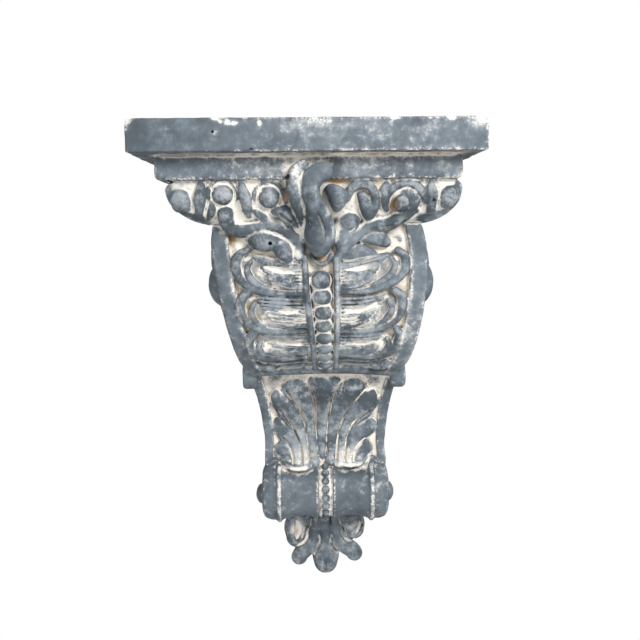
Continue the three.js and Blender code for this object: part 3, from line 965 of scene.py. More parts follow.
@dataclass(frozen=True)
class Foliage:
    """The tongue leaf over the frieze, and the branches and leaves that spring from its foot."""

    tongue: Sequence[Stroke] = (
        Stroke(
            ((-22, 118, 14), (-24, 97, 16), (-29, 78, 15), (-32, 64, 14), (-29, 52, 15), (-22, 46, 14)),
            (3.5, 5.0, 7.5, 8.5, 8.0, 6.0), 1.1, 2.0, 30,
        ),
        Stroke(
            ((-5, 131, 11), (-6, 120, 18), (-6.5, 108, 23), (-12, 88, 22), (-16, 70, 20), (-12, 60, 19),
             (-6, 54, 19), (-2, 53, 19)),
            (11, 15, 15, 11, 8.2, 9, 10.8, 10.2), 0.85, 2.0, 40,
        ),
    )
    branches: Sequence[Stroke] = (
        Stroke(
            ((-104, 94, 6), (-102, 104, 8), (-92, 110, 9), (-78, 110, 10), (-62, 106, 11), (-46, 109, 12),
             (-34, 118, 12), (-25, 131, 9)),
            (9.5, 10, 9, 8, 8, 8.5, 8, 5), 0.9, 2.5, 36,
        ),
        Stroke(
            ((97, 92, 5), (85, 97, 9), (70, 104, 10), (53, 107, 11), (38, 115, 11), (25, 129, 10),
             (16, 141, 7)),
            (3.5, 8, 9.5, 8.5, 7, 5.5, 4), 0.85, 2.5, 32,
        ),
    )
    leaves: Sequence[Stroke] = (
        Stroke(((-52, 92, 6), (-42, 93, 9), (-32, 104, 11), (-24, 122, 9)), (5, 9.5, 9, 4), 0.8, 2.5),
        Stroke(((-77, 118, 5), (-67, 122, 8), (-56, 124, 8)), (9.5, 13, 10.5), 0.75, 4.0),
        Stroke(((-50, 126, 9), (-44, 134, 10), (-40, 141, 8)), (8.5, 10.5, 8), 0.85, 2.5),
        Stroke(((-29, 136, 8), (-28, 140, 8)), (6.3,), 1.0, 1.5, 5),
        Stroke(((39, 76, 3), (45, 86, 5), (48, 102, 6)), (5, 9, 5), 0.7),
        Stroke(((-74, 90, 3), (-63, 98, 6), (-49, 104, 7)), (3.5, 6.5, 4), 0.8),
        Stroke(((-117, 82, 2), (-119, 91, 4), (-124, 99, 2)), (3, 5.5, 3), 0.8),
        Stroke(
            ((25, 80, 4), (28, 70, 5), (37, 65, 5), (47, 67, 6), (53, 78, 6), (53, 90, 7), (48, 104, 8)),
            (3.0, 4.6, 5.2, 5.2, 5, 4.4, 3), 1.0, 1.5, 28,
        ),
        Stroke(
            ((67, 78, 2), (73, 69, 3), (86, 64, 3), (98, 68, 3), (105, 78, 3), (106, 88, 2)),
            (3, 4.4, 4.6, 4.6, 4.4, 3), 0.9, 1.5, 24,
        ),
        Stroke(((7, 71, 4), (13, 75, 5), (12, 92, 4)), (6.5, 10, 3.5), 0.8),
        Stroke(
            ((-2, 58, 14), (-8, 66, 18), (-7, 78, 19), (0.5, 90, 20), (6, 102, 20), (9.5, 114, 17),
             (8.5, 124, 14), (3, 133, 10)),
            (2.2, 3, 3, 3.2, 3.2, 3.2, 2.8, 2.2), 1.3, 1.5, 32,
        ),
        Stroke(((17, 138, 5), (19, 122, 9), (25, 106, 11), (27, 102, 11)), (3, 7, 12.5, 12), 0.75),
        Stroke(((42, 122, 5), (55, 120, 7), (67, 126, 5)), (5.5, 9.5, 6), 0.75, 2.5),
        Stroke(((24, 143, 5), (38, 136, 6), (52, 138, 4)), (4, 8, 5), 0.75, 2.5),
    )
    grooves: Sequence[Stroke] = (
        Stroke(((-8, 94, 32.5), (-1.5, 110, 35.5), (0, 124, 26.5)), (0.9, 1.5, 1.0), 1.3, 1.2),
        Stroke(((-18, 72, 27), (-19, 92, 30), (-15, 108, 34.5)), (0.8, 1.3, 0.8), 1.3, 1.2),
        Stroke(((-30, 80, 27), (-32, 63, 26), (-27, 52, 27)), (1.5, 2.5, 1.5), 1.0, 3.0),
        Stroke(((-93, 94, 15), (-89, 101, 17), (-80, 103, 17)), (5, 6, 3), 1.0, 3.0),
        Stroke(
            ((86, 102, 17), (72, 110, 19), (56, 112, 19), (42, 118, 18), (30, 129, 16)),
            (1.0, 1.6, 1.6, 1.4, 1.0), 1.0, 2.0,
        ),
        Stroke(((-46, 96, 17), (-37, 101, 19), (-29, 114, 18)), (1.2, 2.0, 1.2), 1.0, 2.5),
        Stroke(
            ((27, 114, 20), (35, 108, 20), (33, 100, 19), (25, 98, 20)),
            (1.4, 1.8, 1.8, 1.4), 1.0, 1.5, 14,
        ),
        Stroke(((46, 123, 14), (55, 122, 15), (63, 125, 13)), (1.0, 1.8, 1.0), 1.0, 2.0, 10),
    )
    collar: Stroke = Stroke(
        ((-15, 138, 3), (-10, 146, 5), (-3, 149, 6), (4, 146, 5), (9, 138, 3)), (2.0, 2.6, 2.0), 1.2, 1.2, 16
    )
    nail_hole: Stroke = Stroke(((-58, 126, 6), (-58, 126, 22)), (1.5,), 1.0, 0.5, 6)

    def carve(self, wood: Wood, body: ScrollBody) -> None:
        """Raises the leaves and branches, then cuts their grooves and the nail hole.

        Args:
            wood: The wood they are carved in.
            body: The scroll they lie on.
        """
        for form in (*self.leaves, *self.branches, *self.tongue):
            form.raise_in(wood, body)
        for groove in self.grooves:
            groove.cut_in(wood, body)
        self.collar.raise_in(wood, body)
        self.nail_hole.cut_in(wood, body)


@dataclass(frozen=True)
class Palmette:
    """The fan of leaves on the neck, with lines cut between them and rounded leaf ends."""

    leaves: Sequence[tuple[Line, Sequence[float]]] = (
        (((-52, 373, 2), (-46, 380, 9), (-43, 385, 19)), (8, 8, 6.5)),
        (((-54, 345, 1), (-44, 358, 2), (-35, 373, 6), (-31, 386, 21)), (10, 11, 8, 6)),
        (
            ((-51, 311, 1), (-42, 325, 2), (-33, 345, 2), (-25, 371, 6), (-22, 387, 22)),
            (12, 13.5, 11, 7.5, 6),
        ),
        (
            ((-33, 293, 0), (-22, 317, 2), (-17, 340, 2), (-14, 371, 6), (-13, 385, 21)),
            (15, 15, 10.5, 7.5, 5.5),
        ),
        (((51, 374, 2), (44, 380, 9), (41, 384, 18)), (8, 8, 6.5)),
        (((54, 348, 1), (42, 357, 2), (32, 372, 6), (28, 386, 21)), (11, 11.5, 8.5, 6)),
        (((53, 312, 1), (45, 322, 2), (31, 339, 2), (21, 370, 6), (18, 386, 21)), (13, 14, 11.5, 7.5, 6)),
        (((34, 293, 0), (24, 312, 2), (15, 334, 2), (9, 370, 6), (7, 383, 19)), (15, 16, 12, 8, 5.5)),
        (((0, 288, -1), (0, 312, 2), (-2, 338, 3), (-3, 368, 6), (-2, 380, 14)), (21, 15, 11, 7.5, 6)),
    )
    leaf_depth: float = 0.6
    webbed_above: float = 330.0
    web_spread: float = 1.15
    web_depth: float = 0.28
    foot_bar: Line = ((-54, 389, 2), (54, 389, 2))
    foot_bar_half: float = 10.0
    lines: Sequence[Line] = (
        ((21, 287, 7), (10, 309, 8), (6, 333, 8), (3, 357, 9), (2, 376, 15)),
        ((49, 301, 6), (36, 317, 8), (24, 335, 8), (17, 357, 9), (14, 376, 16), (13, 386, 27)),
        ((55, 328, 6), (37, 341, 8), (28, 357, 9), (24, 376, 16), (23, 386, 27)),
        ((49, 362, 6), (37, 372, 12), (33, 386, 26)),
        ((-20, 287, 7), (-11, 316, 8), (-10, 338, 8), (-8, 376, 15)),
        ((-44, 300, 6), (-32, 318, 8), (-24, 341, 8), (-19, 374, 14), (-17, 386, 27)),
        ((-52, 325, 6), (-42, 340, 8), (-31, 361, 9), (-27, 376, 16), (-26, 387, 27)),
        ((-49, 360, 6), (-40, 371, 12), (-37, 386, 26)),
    )
    line_widths: Sequence[float] = (1.5, 1.8, 1.7, 1.6)
    line_rise: float = 5.0
    line_depth: float = 6.0
    lobes: Sequence[tuple[float, float]] = (
        (-57, 308), (-55, 344), (-51, 373), (58, 309), (56, 348), (50, 373),
    )
    lobe_lift: float = 1.0
    lobe_halves: Sequence[float] = (6.5, 7.0, 10.0)
    lip_widths: Sequence[float] = (2.0, 2.8, 3.0, 2.8, 2.0)
    lips: Sequence[Line] = (
        ((-52, 379, 16), (-47, 383, 20), (-39, 388, 24), (-29, 389, 25), (-18, 386, 23), (-11, 381, 19)),
        ((9, 381, 19), (15, 384, 21), (27, 386, 23), (40, 385, 22), (49, 380, 17)),
        ((-67, 386, 16), (-62, 384, 16), (-56, 382, 16)),
        ((67, 386, 16), (62, 384, 16), (56, 382, 16)),
    )

    def carve(self, wood: Wood, body: ScrollBody) -> None:
        """Raises the leaves and the web between the upper ones, cuts their lines and rounds the leaf ends.

        Args:
            wood: The wood they are carved in.
            body: The scroll they lie on.
        """
        Stroke(self.foot_bar, (self.foot_bar_half,), depth=1.0, blend=3.0, samples=6).raise_in(wood, body)
        for leaf, widths in self.leaves:
            if leaf[0][1] < self.webbed_above:
                web = [width * self.web_spread for width in widths]
                Stroke(leaf, web, self.web_depth, blend=2.0, samples=26).raise_in(wood, body)
            Stroke(leaf, widths, self.leaf_depth, blend=1.5, samples=26).raise_in(wood, body)
        for line in self.lines:
            raised = [(x, drop, lift + self.line_rise) for x, drop, lift in line]
            Stroke(raised, self.line_widths, self.line_depth, blend=0.6, samples=26).cut_in(wood, body)
        for x, drop in self.lobes:
            raise_egg(wood, (x, body.reach_at(drop) + self.lobe_lift, drop), self.lobe_halves)

    def carve_lips(self, wood: Wood, body: ScrollBody) -> None:
        """Raises the scalloped lips where the fan ends over the roll.

        Args:
            wood: The wood they are raised in.
            body: The scroll they lie on.
        """
        for lip in self.lips:
            Stroke(lip, self.lip_widths, depth=1.1, blend=1.2, samples=20).raise_in(wood, body)


@dataclass(frozen=True)
class Roll:
    """The turned roll at the foot of the scroll, with a string of beads over it and an eye at each end."""

    reach: float = 87.0
    drop: float = 420.0
    half_length: float = 74.0
    profile: Knots = (
        (0, 30.5), (8, 30.5), (9.5, 33.3), (11.5, 32.6), (22, 29.8), (38, 29.8), (47, 32.4), (50.5, 33.8),
        (52.5, 36.5), (55.5, 36.5), (58, 33.8), (64, 33.6), (69, 31.8), (72, 29.4), (74, 26),
    )
    end_rounding: float = 3.5
    room: float = 40.0
    end_room: float = 12.0
    bead_count: int = 11
    bead_first: float = -88.0
    bead_pitch: float = 17.5
    bead_size: float = 4.7
    bead_out: float = 32.0
    eye_reach: float = 90.0
    eye_drop: float = 422.0
    eye_halves: Sequence[float] = (7.5, 12.0, 12.0)

    def carve(self, wood: Wood) -> None:
        """Turns the roll and raises its beads and eyes.

        Args:
            wood: The wood it is cut in.
        """
        middle = np.array((0.0, self.reach, self.drop))
        room = np.array((self.half_length + self.end_room, self.room, self.room))
        window = wood.window(middle - room, middle + room)
        places, sizes = np.array(self.profile, float).T
        radius = np.interp(np.abs(window.x), places, sizes).astype(np.float32)
        out = np.sqrt((window.reach - self.reach) ** 2 + (window.drop - self.drop) ** 2)
        drum = rounded((out - radius, np.abs(window.x) - self.half_length), self.end_rounding)
        wood.join(window, drum.astype(np.float32), blend=1.0)
        for number in range(self.bead_count):
            turn = math.radians(self.bead_first + self.bead_pitch * number)
            reach = self.reach + self.bead_out * math.cos(turn)
            centre = (0.0, reach, self.drop + self.bead_out * math.sin(turn))
            wood.join(window, egg(window, centre, (self.bead_size,) * 3).astype(np.float32), blend=0.6)
        for side in SIDES:
            centre = (side * self.half_length, self.eye_reach, self.eye_drop)
            wood.join(window, egg(window, centre, self.eye_halves).astype(np.float32), blend=1.0)


@dataclass(frozen=True)
class LeafDrop:
    """The leaves that hang below the roll."""

    strokes: Sequence[Stroke] = (
        Stroke(((-28, 458, 6), (-35, 474, 6), (-35, 491, 6)), (12, 14.5, 12.5), 0.7, 0.8, 26),
        Stroke(((28, 456, 6), (35, 470, 6), (37, 481, 6)), (12, 14, 12), 0.7, 0.8, 26),
        Stroke(
            ((-11, 462, 7), (-14, 486, 9), (-21, 502, 10), (-30, 512, 11), (-32, 516, 11)),
            (5, 7, 9, 10.5, 10), 0.7, 0.8, 26,
        ),
        Stroke(
            ((12, 462, 7), (16, 486, 9), (24, 501, 10), (34, 508, 11), (37, 512, 11)),
            (5, 7, 9, 10.5, 10), 0.7, 0.8, 26,
        ),
        Stroke(
            ((0, 458, 9), (0, 483, 11), (1, 502, 12), (1, 516, 13), (1, 522, 13)),
            (6, 6.5, 9, 17, 14.5), 0.65, 0.8, 26,
        ),
    )
    seams: Sequence[Stroke] = (
        Stroke(((-6, 478, 16), (-8, 502, 17), (-16, 514, 17)), (1.6, 2.2, 1.8), 1.6, 1.0, 16),
        Stroke(((7, 478, 16), (9, 501, 17), (19, 513, 17)), (1.6, 2.2, 1.8), 1.6, 1.0, 16),
        Stroke(((-18, 478, 14), (-25, 494, 14), (-40, 503, 14)), (1.6, 2.4, 1.8), 1.6, 1.0, 16),
        Stroke(((18, 478, 14), (29, 494, 14), (43, 496, 14)), (1.6, 2.4, 1.8), 1.6, 1.0, 16),
        Stroke(((-34, 466, 15), (-32, 478, 16), (-34, 490, 15)), (3.0, 5.5, 3.0), 1.0, 2.5, 12),
        Stroke(((44, 466, 13), (43, 476, 14), (39, 484, 15)), (2.0, 3.6, 2.0), 1.0, 2.0, 12),
        Stroke(((0, 517, 24), (0, 532, 22)), (1.0, 1.8), 1.4, 2.0, 8),
        Stroke(((-38, 510, 20), (-32, 520, 21)), (0.8, 1.4), 1.4, 1.5, 8),
        Stroke(((42, 505, 20), (38, 516, 21)), (0.8, 1.4), 1.4, 1.5, 8),
    )

    def carve(self, wood: Wood, body: ScrollBody) -> None:
        """Raises the outer leaves, the inner ones and the middle one, then cuts the seams between them.

        Args:
            wood: The wood they are carved in.
            body: The scroll they lie on.
        """
        for stroke in self.strokes:
            stroke.raise_in(wood, body)
        for seam in self.seams:
            seam.cut_in(wood, body)


@dataclass(frozen=True)
class SideScroll:
    """The spiral, its boss and the ear on each side of the scroll."""

    reach: float = 94.0
    drop: float = 174.0
    outer: float = 50.0
    inner: float = 28.0
    start: float = -0.5
    turns: float = -1.3
    half_width: float = 7.0
    samples: int = 60
    room: float = 10.0
    boss_halves: Sequence[float] = (17.0, 26.0, 26.0)
    boss_sunk: float = 2.0
    boss_shift: float = 2.0
    ear_x: float = 86.0
    ear_reach: float = 84.0
    ear_drop: float = 281.0
    ear_radius: float = 16.0
    ear_half_length: float = 9.0
    ear_rounding: float = 4.0

    def carve(self, wood: Wood, body: ScrollBody) -> None:
        """Raises both side scrolls.

        Args:
            wood: The wood they are raised in.
            body: The scroll whose sides they lie on.
        """
        t = np.linspace(0, 1, self.samples)
        turn = self.start + t * self.turns * 2 * math.pi
        radius = self.outer + (self.inner - self.outer) * t
        drop = self.drop + radius * np.sin(turn)
        reach = self.reach + radius * np.cos(turn)
        for side in SIDES:
            x = body.axis(drop) + side * (body.half_width(drop) - body.side_recess)
            centres = np.stack([x, reach, drop], axis=1)
            window = wood.window(centres.min(axis=0) - self.room, centres.max(axis=0) + self.room)
            radii = np.full(self.samples, self.half_width)
            wood.join(window, swept(window, centres, radii, depth=1.0), blend=2.0)
            self._boss(wood, body, side)
            self._ear(wood, side)

    def _boss(self, wood: Wood, body: ScrollBody, side: int) -> None:
        """Raises the boss in the middle of one side's spiral.

        Args:
            wood: The wood it is raised in.
            body: The scroll whose side it lies on.
            side: -1 for the left and 1 for the right.
        """
        level = np.array(self.drop)
        x = float(body.axis(level) + side * (body.half_width(level) - self.boss_sunk))
        centre = (x, self.reach + self.boss_shift, self.drop - self.boss_shift)
        raise_egg(wood, centre, self.boss_halves, blend=2.0)

    def _ear(self, wood: Wood, side: int) -> None:
        """Raises the ear where one side's scroll ends.

        Args:
            wood: The wood it is raised in.
            side: -1 for the left and 1 for the right.
        """
        centre = np.array((side * self.ear_x, self.ear_reach, self.ear_drop))
        window = wood.window(centre - self.ear_radius, centre + self.ear_radius)
        out = np.sqrt((window.reach - self.ear_reach) ** 2 + (window.drop - self.ear_drop) ** 2)
        faces = (out - self.ear_radius, np.abs(window.x - centre[0]) - self.ear_half_length)
        wood.join(window, rounded(faces, self.ear_rounding).astype(np.float32), blend=1.5)


class Wire:
    """A shader socket that works in Python expressions."""

    def __init__(self, shader: "Shader", socket: bpy.types.NodeSocket) -> None:
        """Keeps the socket and the shader it belongs to."""
        self.shader = shader
        self.socket = socket

    def _math(self, operation: str, first: object, second: object) -> "Wire":
        """Adds a Math node.

        Args:
            operation: Name of the sum.
            first: First value or wire.
            second: Second value or wire.

        Returns:
            The result's wire.
        """
        return self.shader.node("ShaderNodeMath", {"operation": operation}, {0: first, 1: second})

    def __add__(self, other: object) -> "Wire":
        """Adds a value or wire."""
        return self._math("ADD", self, other)

    def __sub__(self, other: object) -> "Wire":
        """Takes a value or wire away."""
        return self._math("SUBTRACT", self, other)

    def __rsub__(self, other: object) -> "Wire":
        """Takes this away from a value."""
        return self._math("SUBTRACT", other, self)

    def __mul__(self, other: object) -> "Wire":
        """Multiplies by a value or wire."""
        return self._math("MULTIPLY", self, other)

    __radd__ = __add__
    __rmul__ = __mul__

    def eased(self, low: float, high: float) -> "Wire":
        """Eases from 0 at low to 1 at high."""
        inputs = {"Value": self, "From Min": low, "From Max": high}
        return self.shader.node("ShaderNodeMapRange", {"interpolation_type": "SMOOTHSTEP"}, inputs)


class Shader:
    """The nodes of a material or a world, made by name."""

    MIX_PART = 0
    MIX_FIRST = 6
    MIX_SECOND = 7
    MIXED_COLOUR = 2

    def __init__(self, tree: bpy.types.NodeTree) -> None:
        """Keeps the empty node tree that it fills."""
        self.tree = tree

    def put_out(self, kind: str, surface: Wire) -> None:
        """Joins a finished surface to an output of the given kind."""
        output = self.tree.nodes.new(kind)
        self.tree.links.new(surface.socket, output.inputs["Surface"])

    def node(
        self, kind: str, settings: dict[str, object], inputs: dict[object, object], output: object = 0
    ) -> Wire:
        """Adds a node.

        Args:
            kind: The node's type.
            settings: Its settings, which are made first.
            inputs: Values or wires for its sockets, by name or number.
            output: Name or number of the socket to give back.

        Returns:
            A wire from that socket.
        """
        made = self.tree.nodes.new(kind)
        for name, value in settings.items():
            setattr(made, name, value)
        for name, value in inputs.items():
            if isinstance(value, Wire):
                self.tree.links.new(value.socket, made.inputs[name])
            else:
                made.inputs[name].default_value = value
        return Wire(self, made.outputs[output])

    def attribute(self, name: str) -> Wire:
        """Reads a number that the mesh carries at its points."""
        return self.node("ShaderNodeAttribute", {"attribute_name": name}, {}, "Fac")

    def noise(self, place: Wire, scale: float, detail: float, roughness: float) -> Wire:
        """Adds a noise pattern.

        Args:
            place: Coordinates that it follows.
            scale: Its fineness.
            detail: How many finer layers it has.
            roughness: How strong those are.

        Returns:
            A wire of values around one half.
        """
        inputs = {"Vector": place, "Scale": scale, "Detail": detail, "Roughness": roughness}
        return self.node("ShaderNodeTexNoise", {}, inputs)

    def mix(self, part: object, first: object, second: object) -> Wire:
        """Mixes two colours.

        Args:
            part: How much of the second shows.
            first: First colour or wire.
            second: Second colour or wire.

        Returns:
            The mixed colour's wire.
        """
        inputs = {self.MIX_PART: part, self.MIX_FIRST: first, self.MIX_SECOND: second}
        return self.node("ShaderNodeMix", {"data_type": "RGBA"}, inputs, self.MIXED_COLOUR)


def new_material(name: str) -> tuple[bpy.types.Material, Shader]:
    """Makes an empty material.

    Args:
        name: Its name.

    Returns:
        The material, and the shader that fills it.
    """
    material = bpy.data.materials.new(name)
    material.use_nodes = True
    material.node_tree.nodes.clear()
    return material, Shader(material.node_tree)


def tone(red: int, green: int, blue: int) -> tuple[float, float, float, float]:
    """Colour for a shader from screen values of 0 to 255.

    Args:
        red: Red on the screen.
        green: Green on the screen.
        blue: Blue on the screen.

    Returns:
        The linear colour with full alpha.
    """
    channels = [value / 255 for value in (red, green, blue)]
    linear = [c / 12.92 if c <= 0.04045 else ((c + 0.055) / 1.055) ** 2.4 for c in channels]
    return (*linear, 1.0)


class Mark(Enum):
    """What the mesh carries at its points for the paint to read."""

    HOLLOW = "hollow"
    CREST = "crest"
    BULGE = "bulge"
    GROUND = "ground"
    CARVED = "carved"
    GROOVE = "groove"
    RUBBED_AND_PAINTED_LIGHT = "rubbed_and_painted_light"
    STAIN = "stain"
    DIRT_AND_HOLE_SHADE = "dirt_and_hole_shade"


@dataclass(frozen=True)
class Spot:
    """A worn, stained or dirty place on the front, or a painted light or shade: its middle, half sizes and
    strength.
    """

    x: float
    drop: float
    half_x: float
    half_drop: float
    strength: float

    def cover(self, x: np.ndarray, drop: np.ndarray) -> np.ndarray:
        """How strongly the spot covers each point.

        Args:
            x: The points' x.
            drop: The points' drop.

        Returns:
            The spot's strength at each point.
        """
        square = ((x - self.x) / self.half_x) ** 2 + ((drop - self.drop) / self.half_drop) ** 2
        return self.strength * np.exp(-square)


@dataclass(frozen=True)
class WornPaint:
    """Blue-grey paint over white gesso: thin on crests, gone in hollows, stained in the deepest ones."""

    deep_blue: Sequence[float] = tone(75, 84, 91)
    pale_blue: Sequence[float] = tone(129, 139, 147)
    haze: Sequence[float] = tone(190, 194, 196)
    gesso: Sequence[float] = tone(243, 237, 227)
    cream: Sequence[float] = tone(228, 214, 195)
    amber: Sequence[float] = tone(158, 126, 84)
    grime_and_hole_shade: Sequence[float] = tone(34, 32, 30)
    shelf_wear_and_step_light: Sequence[Spot] = (
        Spot(-28, 7, 14, 5, 0.9), Spot(-3, 6, 12, 5, 0.9), Spot(-15, 17, 22, 5, 0.35),
        Spot(25, 9, 14, 5, 0.5), Spot(-132, 11, 7, 3, 0.7), Spot(154, 8, 9, 6, 0.9),
        Spot(106, 12, 14, 6, 0.4), Spot(60, 18, 90, 20, 0.3), Spot(-60, 14, 40, 10, 0.15),
        Spot(-85, 22, 9, 4, 0.3),
        Spot(126, 29, 10, 4, 0.4), Spot(-159, 10, 6, 3, 0.3), Spot(-104, 4, 2.2, 2.0, 2.2),
        Spot(-97, 5, 3.2, 2.2, 2.2), Spot(-90, 6, 3.2, 2.2, 2.2), Spot(-109, 1, 3.2, 2.2, 1.6),
        Spot(-65, 5.5, 1.8, 3.0, 2.2), Spot(70, 1, 3.5, 2.0, 1.6), Spot(128, 2, 4, 2.5, 2.0),
        Spot(-196, 2, 4, 5, 2.2), Spot(160, 3, 4, 4, 1.6), Spot(-110, 15, 2.6, 2.2, 1.6),
        # Darker towards the left of the shelf front, and painted light across the step that lightens it where
        # the shelf above shades it
        Spot(-150, 20, 45, 25, -0.7), Spot(-17, 47, 170, 12, 0.55),
    )
    frieze_wear: Sequence[Spot] = (
        Spot(-29, 60, 5, 14, 0.8), Spot(-2, 50, 14, 11, -0.7), Spot(-106, 74, 13, 13, 0.4),
        Spot(-58, 77, 13, 13, 0.4), Spot(-90, 100, 8, 6, 0.9), Spot(-8, 90, 15, 42, -0.6),
        Spot(70, 90, 40, 12, -0.3), Spot(-150, 80, 12, 10, 0.3), Spot(131, 78, 12, 10, 0.3),
        Spot(88, 76, 15, 12, 0.45), Spot(40, 72, 14, 8, 0.4), Spot(-85, 78, 14, 14, 0.25),
        Spot(-9, 72, 2.6, 9, 1.3), Spot(3, 97, 3, 8, 1.3), Spot(9, 114, 2.6, 9, 1.2),
        Spot(-29, 138, 6, 6, 1.3), Spot(-47, 125, 2.2, 2.0, 1.2),
    )
    scroll_wear: Sequence[Spot] = (
        Spot(-49, 155, 16, 3, 0.9), Spot(-40, 200, 10, 2.5, 0.9), Spot(-43, 236, 17, 2.5, 0.9),
        Spot(42, 152, 17, 3, 0.8), Spot(41, 198, 16, 3, 0.9), Spot(42, 237, 15, 2.5, 0.9),
        Spot(-47, 164, 28, 16, 0.4), Spot(-45, 205, 28, 16, 0.35), Spot(-42, 242, 26, 12, 0.4),
        Spot(40, 164, 26, 16, 0.45), Spot(38, 205, 26, 16, 0.4), Spot(38, 242, 26, 12, 0.45),
        # The first two spots make the right band lighter along its length and the left band a little lighter
        Spot(100, 230, 14, 70, 0.45), Spot(-115, 220, 20, 80, 0.2), Spot(-3, 210, 9, 50, 0.1),
        Spot(14, 205, 3.5, 60, 0.5),
    )
    neck_wear: Sequence[Spot] = (
        Spot(-28, 377, 16, 9, 1.1), Spot(27, 377, 15, 10, 1.3), Spot(20, 312, 22, 22, -0.3),
        Spot(-25, 335, 20, 30, 0.3), Spot(-1, 345, 34, 34, 0.16), Spot(34, 296, 16, 4, 0.7),
        Spot(-30, 300, 14, 12, 0.35),
    )
    foot_wear: Sequence[Spot] = (
        Spot(-31, 388, 24, 2.0, 0.8), Spot(29, 385, 22, 2.0, 0.8), Spot(-31, 396, 26, 5, -0.7),
        Spot(29, 394, 24, 5, -0.7), Spot(-54, 420, 2.2, 40, 0.35), Spot(54, 420, 2.2, 40, 0.35),
        Spot(0, 420, 9, 45, -0.15), Spot(0, 410, 60, 26, 0.12), Spot(85, 410, 14, 40, 0.2),
        Spot(0, 488, 11, 26, -0.5), Spot(-36, 480, 13, 15, 0.5), Spot(36, 475, 11, 13, 0.5),
        Spot(-33, 478, 7, 10, 0.8), Spot(30, 476, 6, 10, 0.6),
    )
    stains: Sequence[Spot] = (
        Spot(-40, 77, 6, 9, 1.2), Spot(74, 86, 7, 7, 1.2), Spot(14, 60, 12, 6, 0.8),
        Spot(-5, 142, 10, 4, 0.9), Spot(-37, 483, 7, 10, 0.6), Spot(-82, 198, 4, 9, 0.9),
        Spot(-76, 207, 6, 6, 0.8),
        Spot(74, 156, 4, 9, 0.9), Spot(71, 206, 5, 8, 0.9), Spot(-100, 120, 8, 11, 0.8),
        Spot(60, 250, 8, 8, 0.5), Spot(-29, 138, 5, 5, 0.4), Spot(-45, 146, 6, 4, 0.6),
        Spot(-89, 176, 4, 6, 0.5),
    )
    # Near-black spots: dirt, and painted shade in the nail hole, the pin hole and two notches of the leaf
    # drop
    dirt_and_hole_shade: Sequence[Spot] = (
        Spot(-58, 126, 1.8, 1.8, 3.0), Spot(-160, 61, 3, 2.5, 1.6), Spot(-130, 55, 2, 1.6, 1.4),
        Spot(114, 51, 2, 2, 1.5), Spot(115, 82, 3, 3, 1.4), Spot(-73, 31, 3, 1.6, 1.5),
        Spot(-38, 58, 3, 3, 1.5), Spot(-112, 14, 1.4, 1.4, 2.0), Spot(46, 474, 3, 5, 1.0),
        Spot(42, 508, 2.5, 6, 0.9),
    )

    @property
    def rubbed_and_painted_light(self) -> Sequence[Spot]:
        """All the worn places, those that kept their paint, and the painted light on the step under the
        shelf, from the shelf down.
        """
        return (*self.shelf_wear_and_step_light, *self.frieze_wear, *self.scroll_wear, *self.neck_wear, *self.foot_wear)

    def material(self) -> bpy.types.Material:
        """Makes the paint.

        Returns:
            The finished material.
        """
        material, shader = new_material("worn_blue_paint")
        place = shader.node("ShaderNodeTexCoord", {}, {}, "Object")
        fleck = shader.noise(place, scale=420.0, detail=2.0, roughness=0.6)
        mottle = shader.noise(place, scale=130.0, detail=3.0, roughness=0.6)
        patch = shader.noise(place, scale=46.0, detail=3.0, roughness=0.55)
        cloud = shader.noise(place, scale=17.0, detail=2.0, roughness=0.5)
        marks = [shader.attribute(mark.value) for mark in Mark]
        hollow, crest, bulge, ground, carved, groove, rubbed_and_painted_light, stain, dirt_and_hole_shade = marks

        # Slow drifts of tone, and the broken edges that every coat shares
        drift = (cloud - 0.5) * 1.6 + (patch - 0.5) * 1.2
        break_up = (patch - 0.5) * 1.2 + (mottle - 0.5) * 1.7 + (fleck - 0.5) * 0.8
        # Blue paint, darkened in the narrow grooves as painted shade, brushed pale on crests and chipped down
        # to the gesso
        lighter = rubbed_and_painted_light * 0.35 + drift * (0.65 + carved * 0.35) + (mottle - 0.5) * 0.7
        shade = lighter - groove * 0.3 - carved * 0.12
        blue = shader.mix(shade.eased(-0.55, 0.65), self.deep_blue, self.pale_blue)
        ridge = carved * bulge.eased(0.35, 1.0)
        brushed = rubbed_and_painted_light * 0.8 + crest * 0.4 + ridge * 0.22 + hollow * 0.3 + break_up * (0.65 + carved * 0.35)
        hazed = shader.mix(brushed.eased(0.12, 1.15), blue, self.haze)
        chipped = rubbed_and_painted_light * 0.6 + crest * (0.65 - carved * 0.35) + break_up * 0.7 + (fleck - 0.5) * 0.9
        worn = shader.mix(chipped.eased(0.5, 0.95), hazed, self.gesso)
        # Gesso left in the hollows, cream dust on the ground, and blue smudged back over both
        washed = hollow * 1.15 + carved * (0.28 - bulge * 0.75) + rubbed_and_painted_light * 0.3 + break_up * 0.9
        limed = shader.mix(washed.eased(0.22, 1.05), worn, self.gesso)
        dust = ground * 0.5 + hollow * 0.35 + drift * 0.9 + break_up * 0.3
        aged = shader.mix(dust.eased(0.45, 1.15) * 0.9, limed, self.cream)
        smudged = carved * 0.25 + drift * 0.5 + break_up
        soiled = shader.mix(smudged.eased(0.1, 0.9) * 0.65, aged, self.pale_blue)
        # Painted shade in the narrow grooves, amber stains, and near-black dirt with painted shade in holes
        # and notches
        groove_shade = groove - rubbed_and_painted_light * 0.45 + break_up * 0.4
        groove_shaded = shader.mix(groove_shade.eased(0.4, 0.95) * 0.7, soiled, self.deep_blue)
        soaked = stain * (0.6 + hollow) + break_up * 0.4
        stained = shader.mix(soaked.eased(0.25, 1.0) * 0.9, groove_shaded, self.amber)
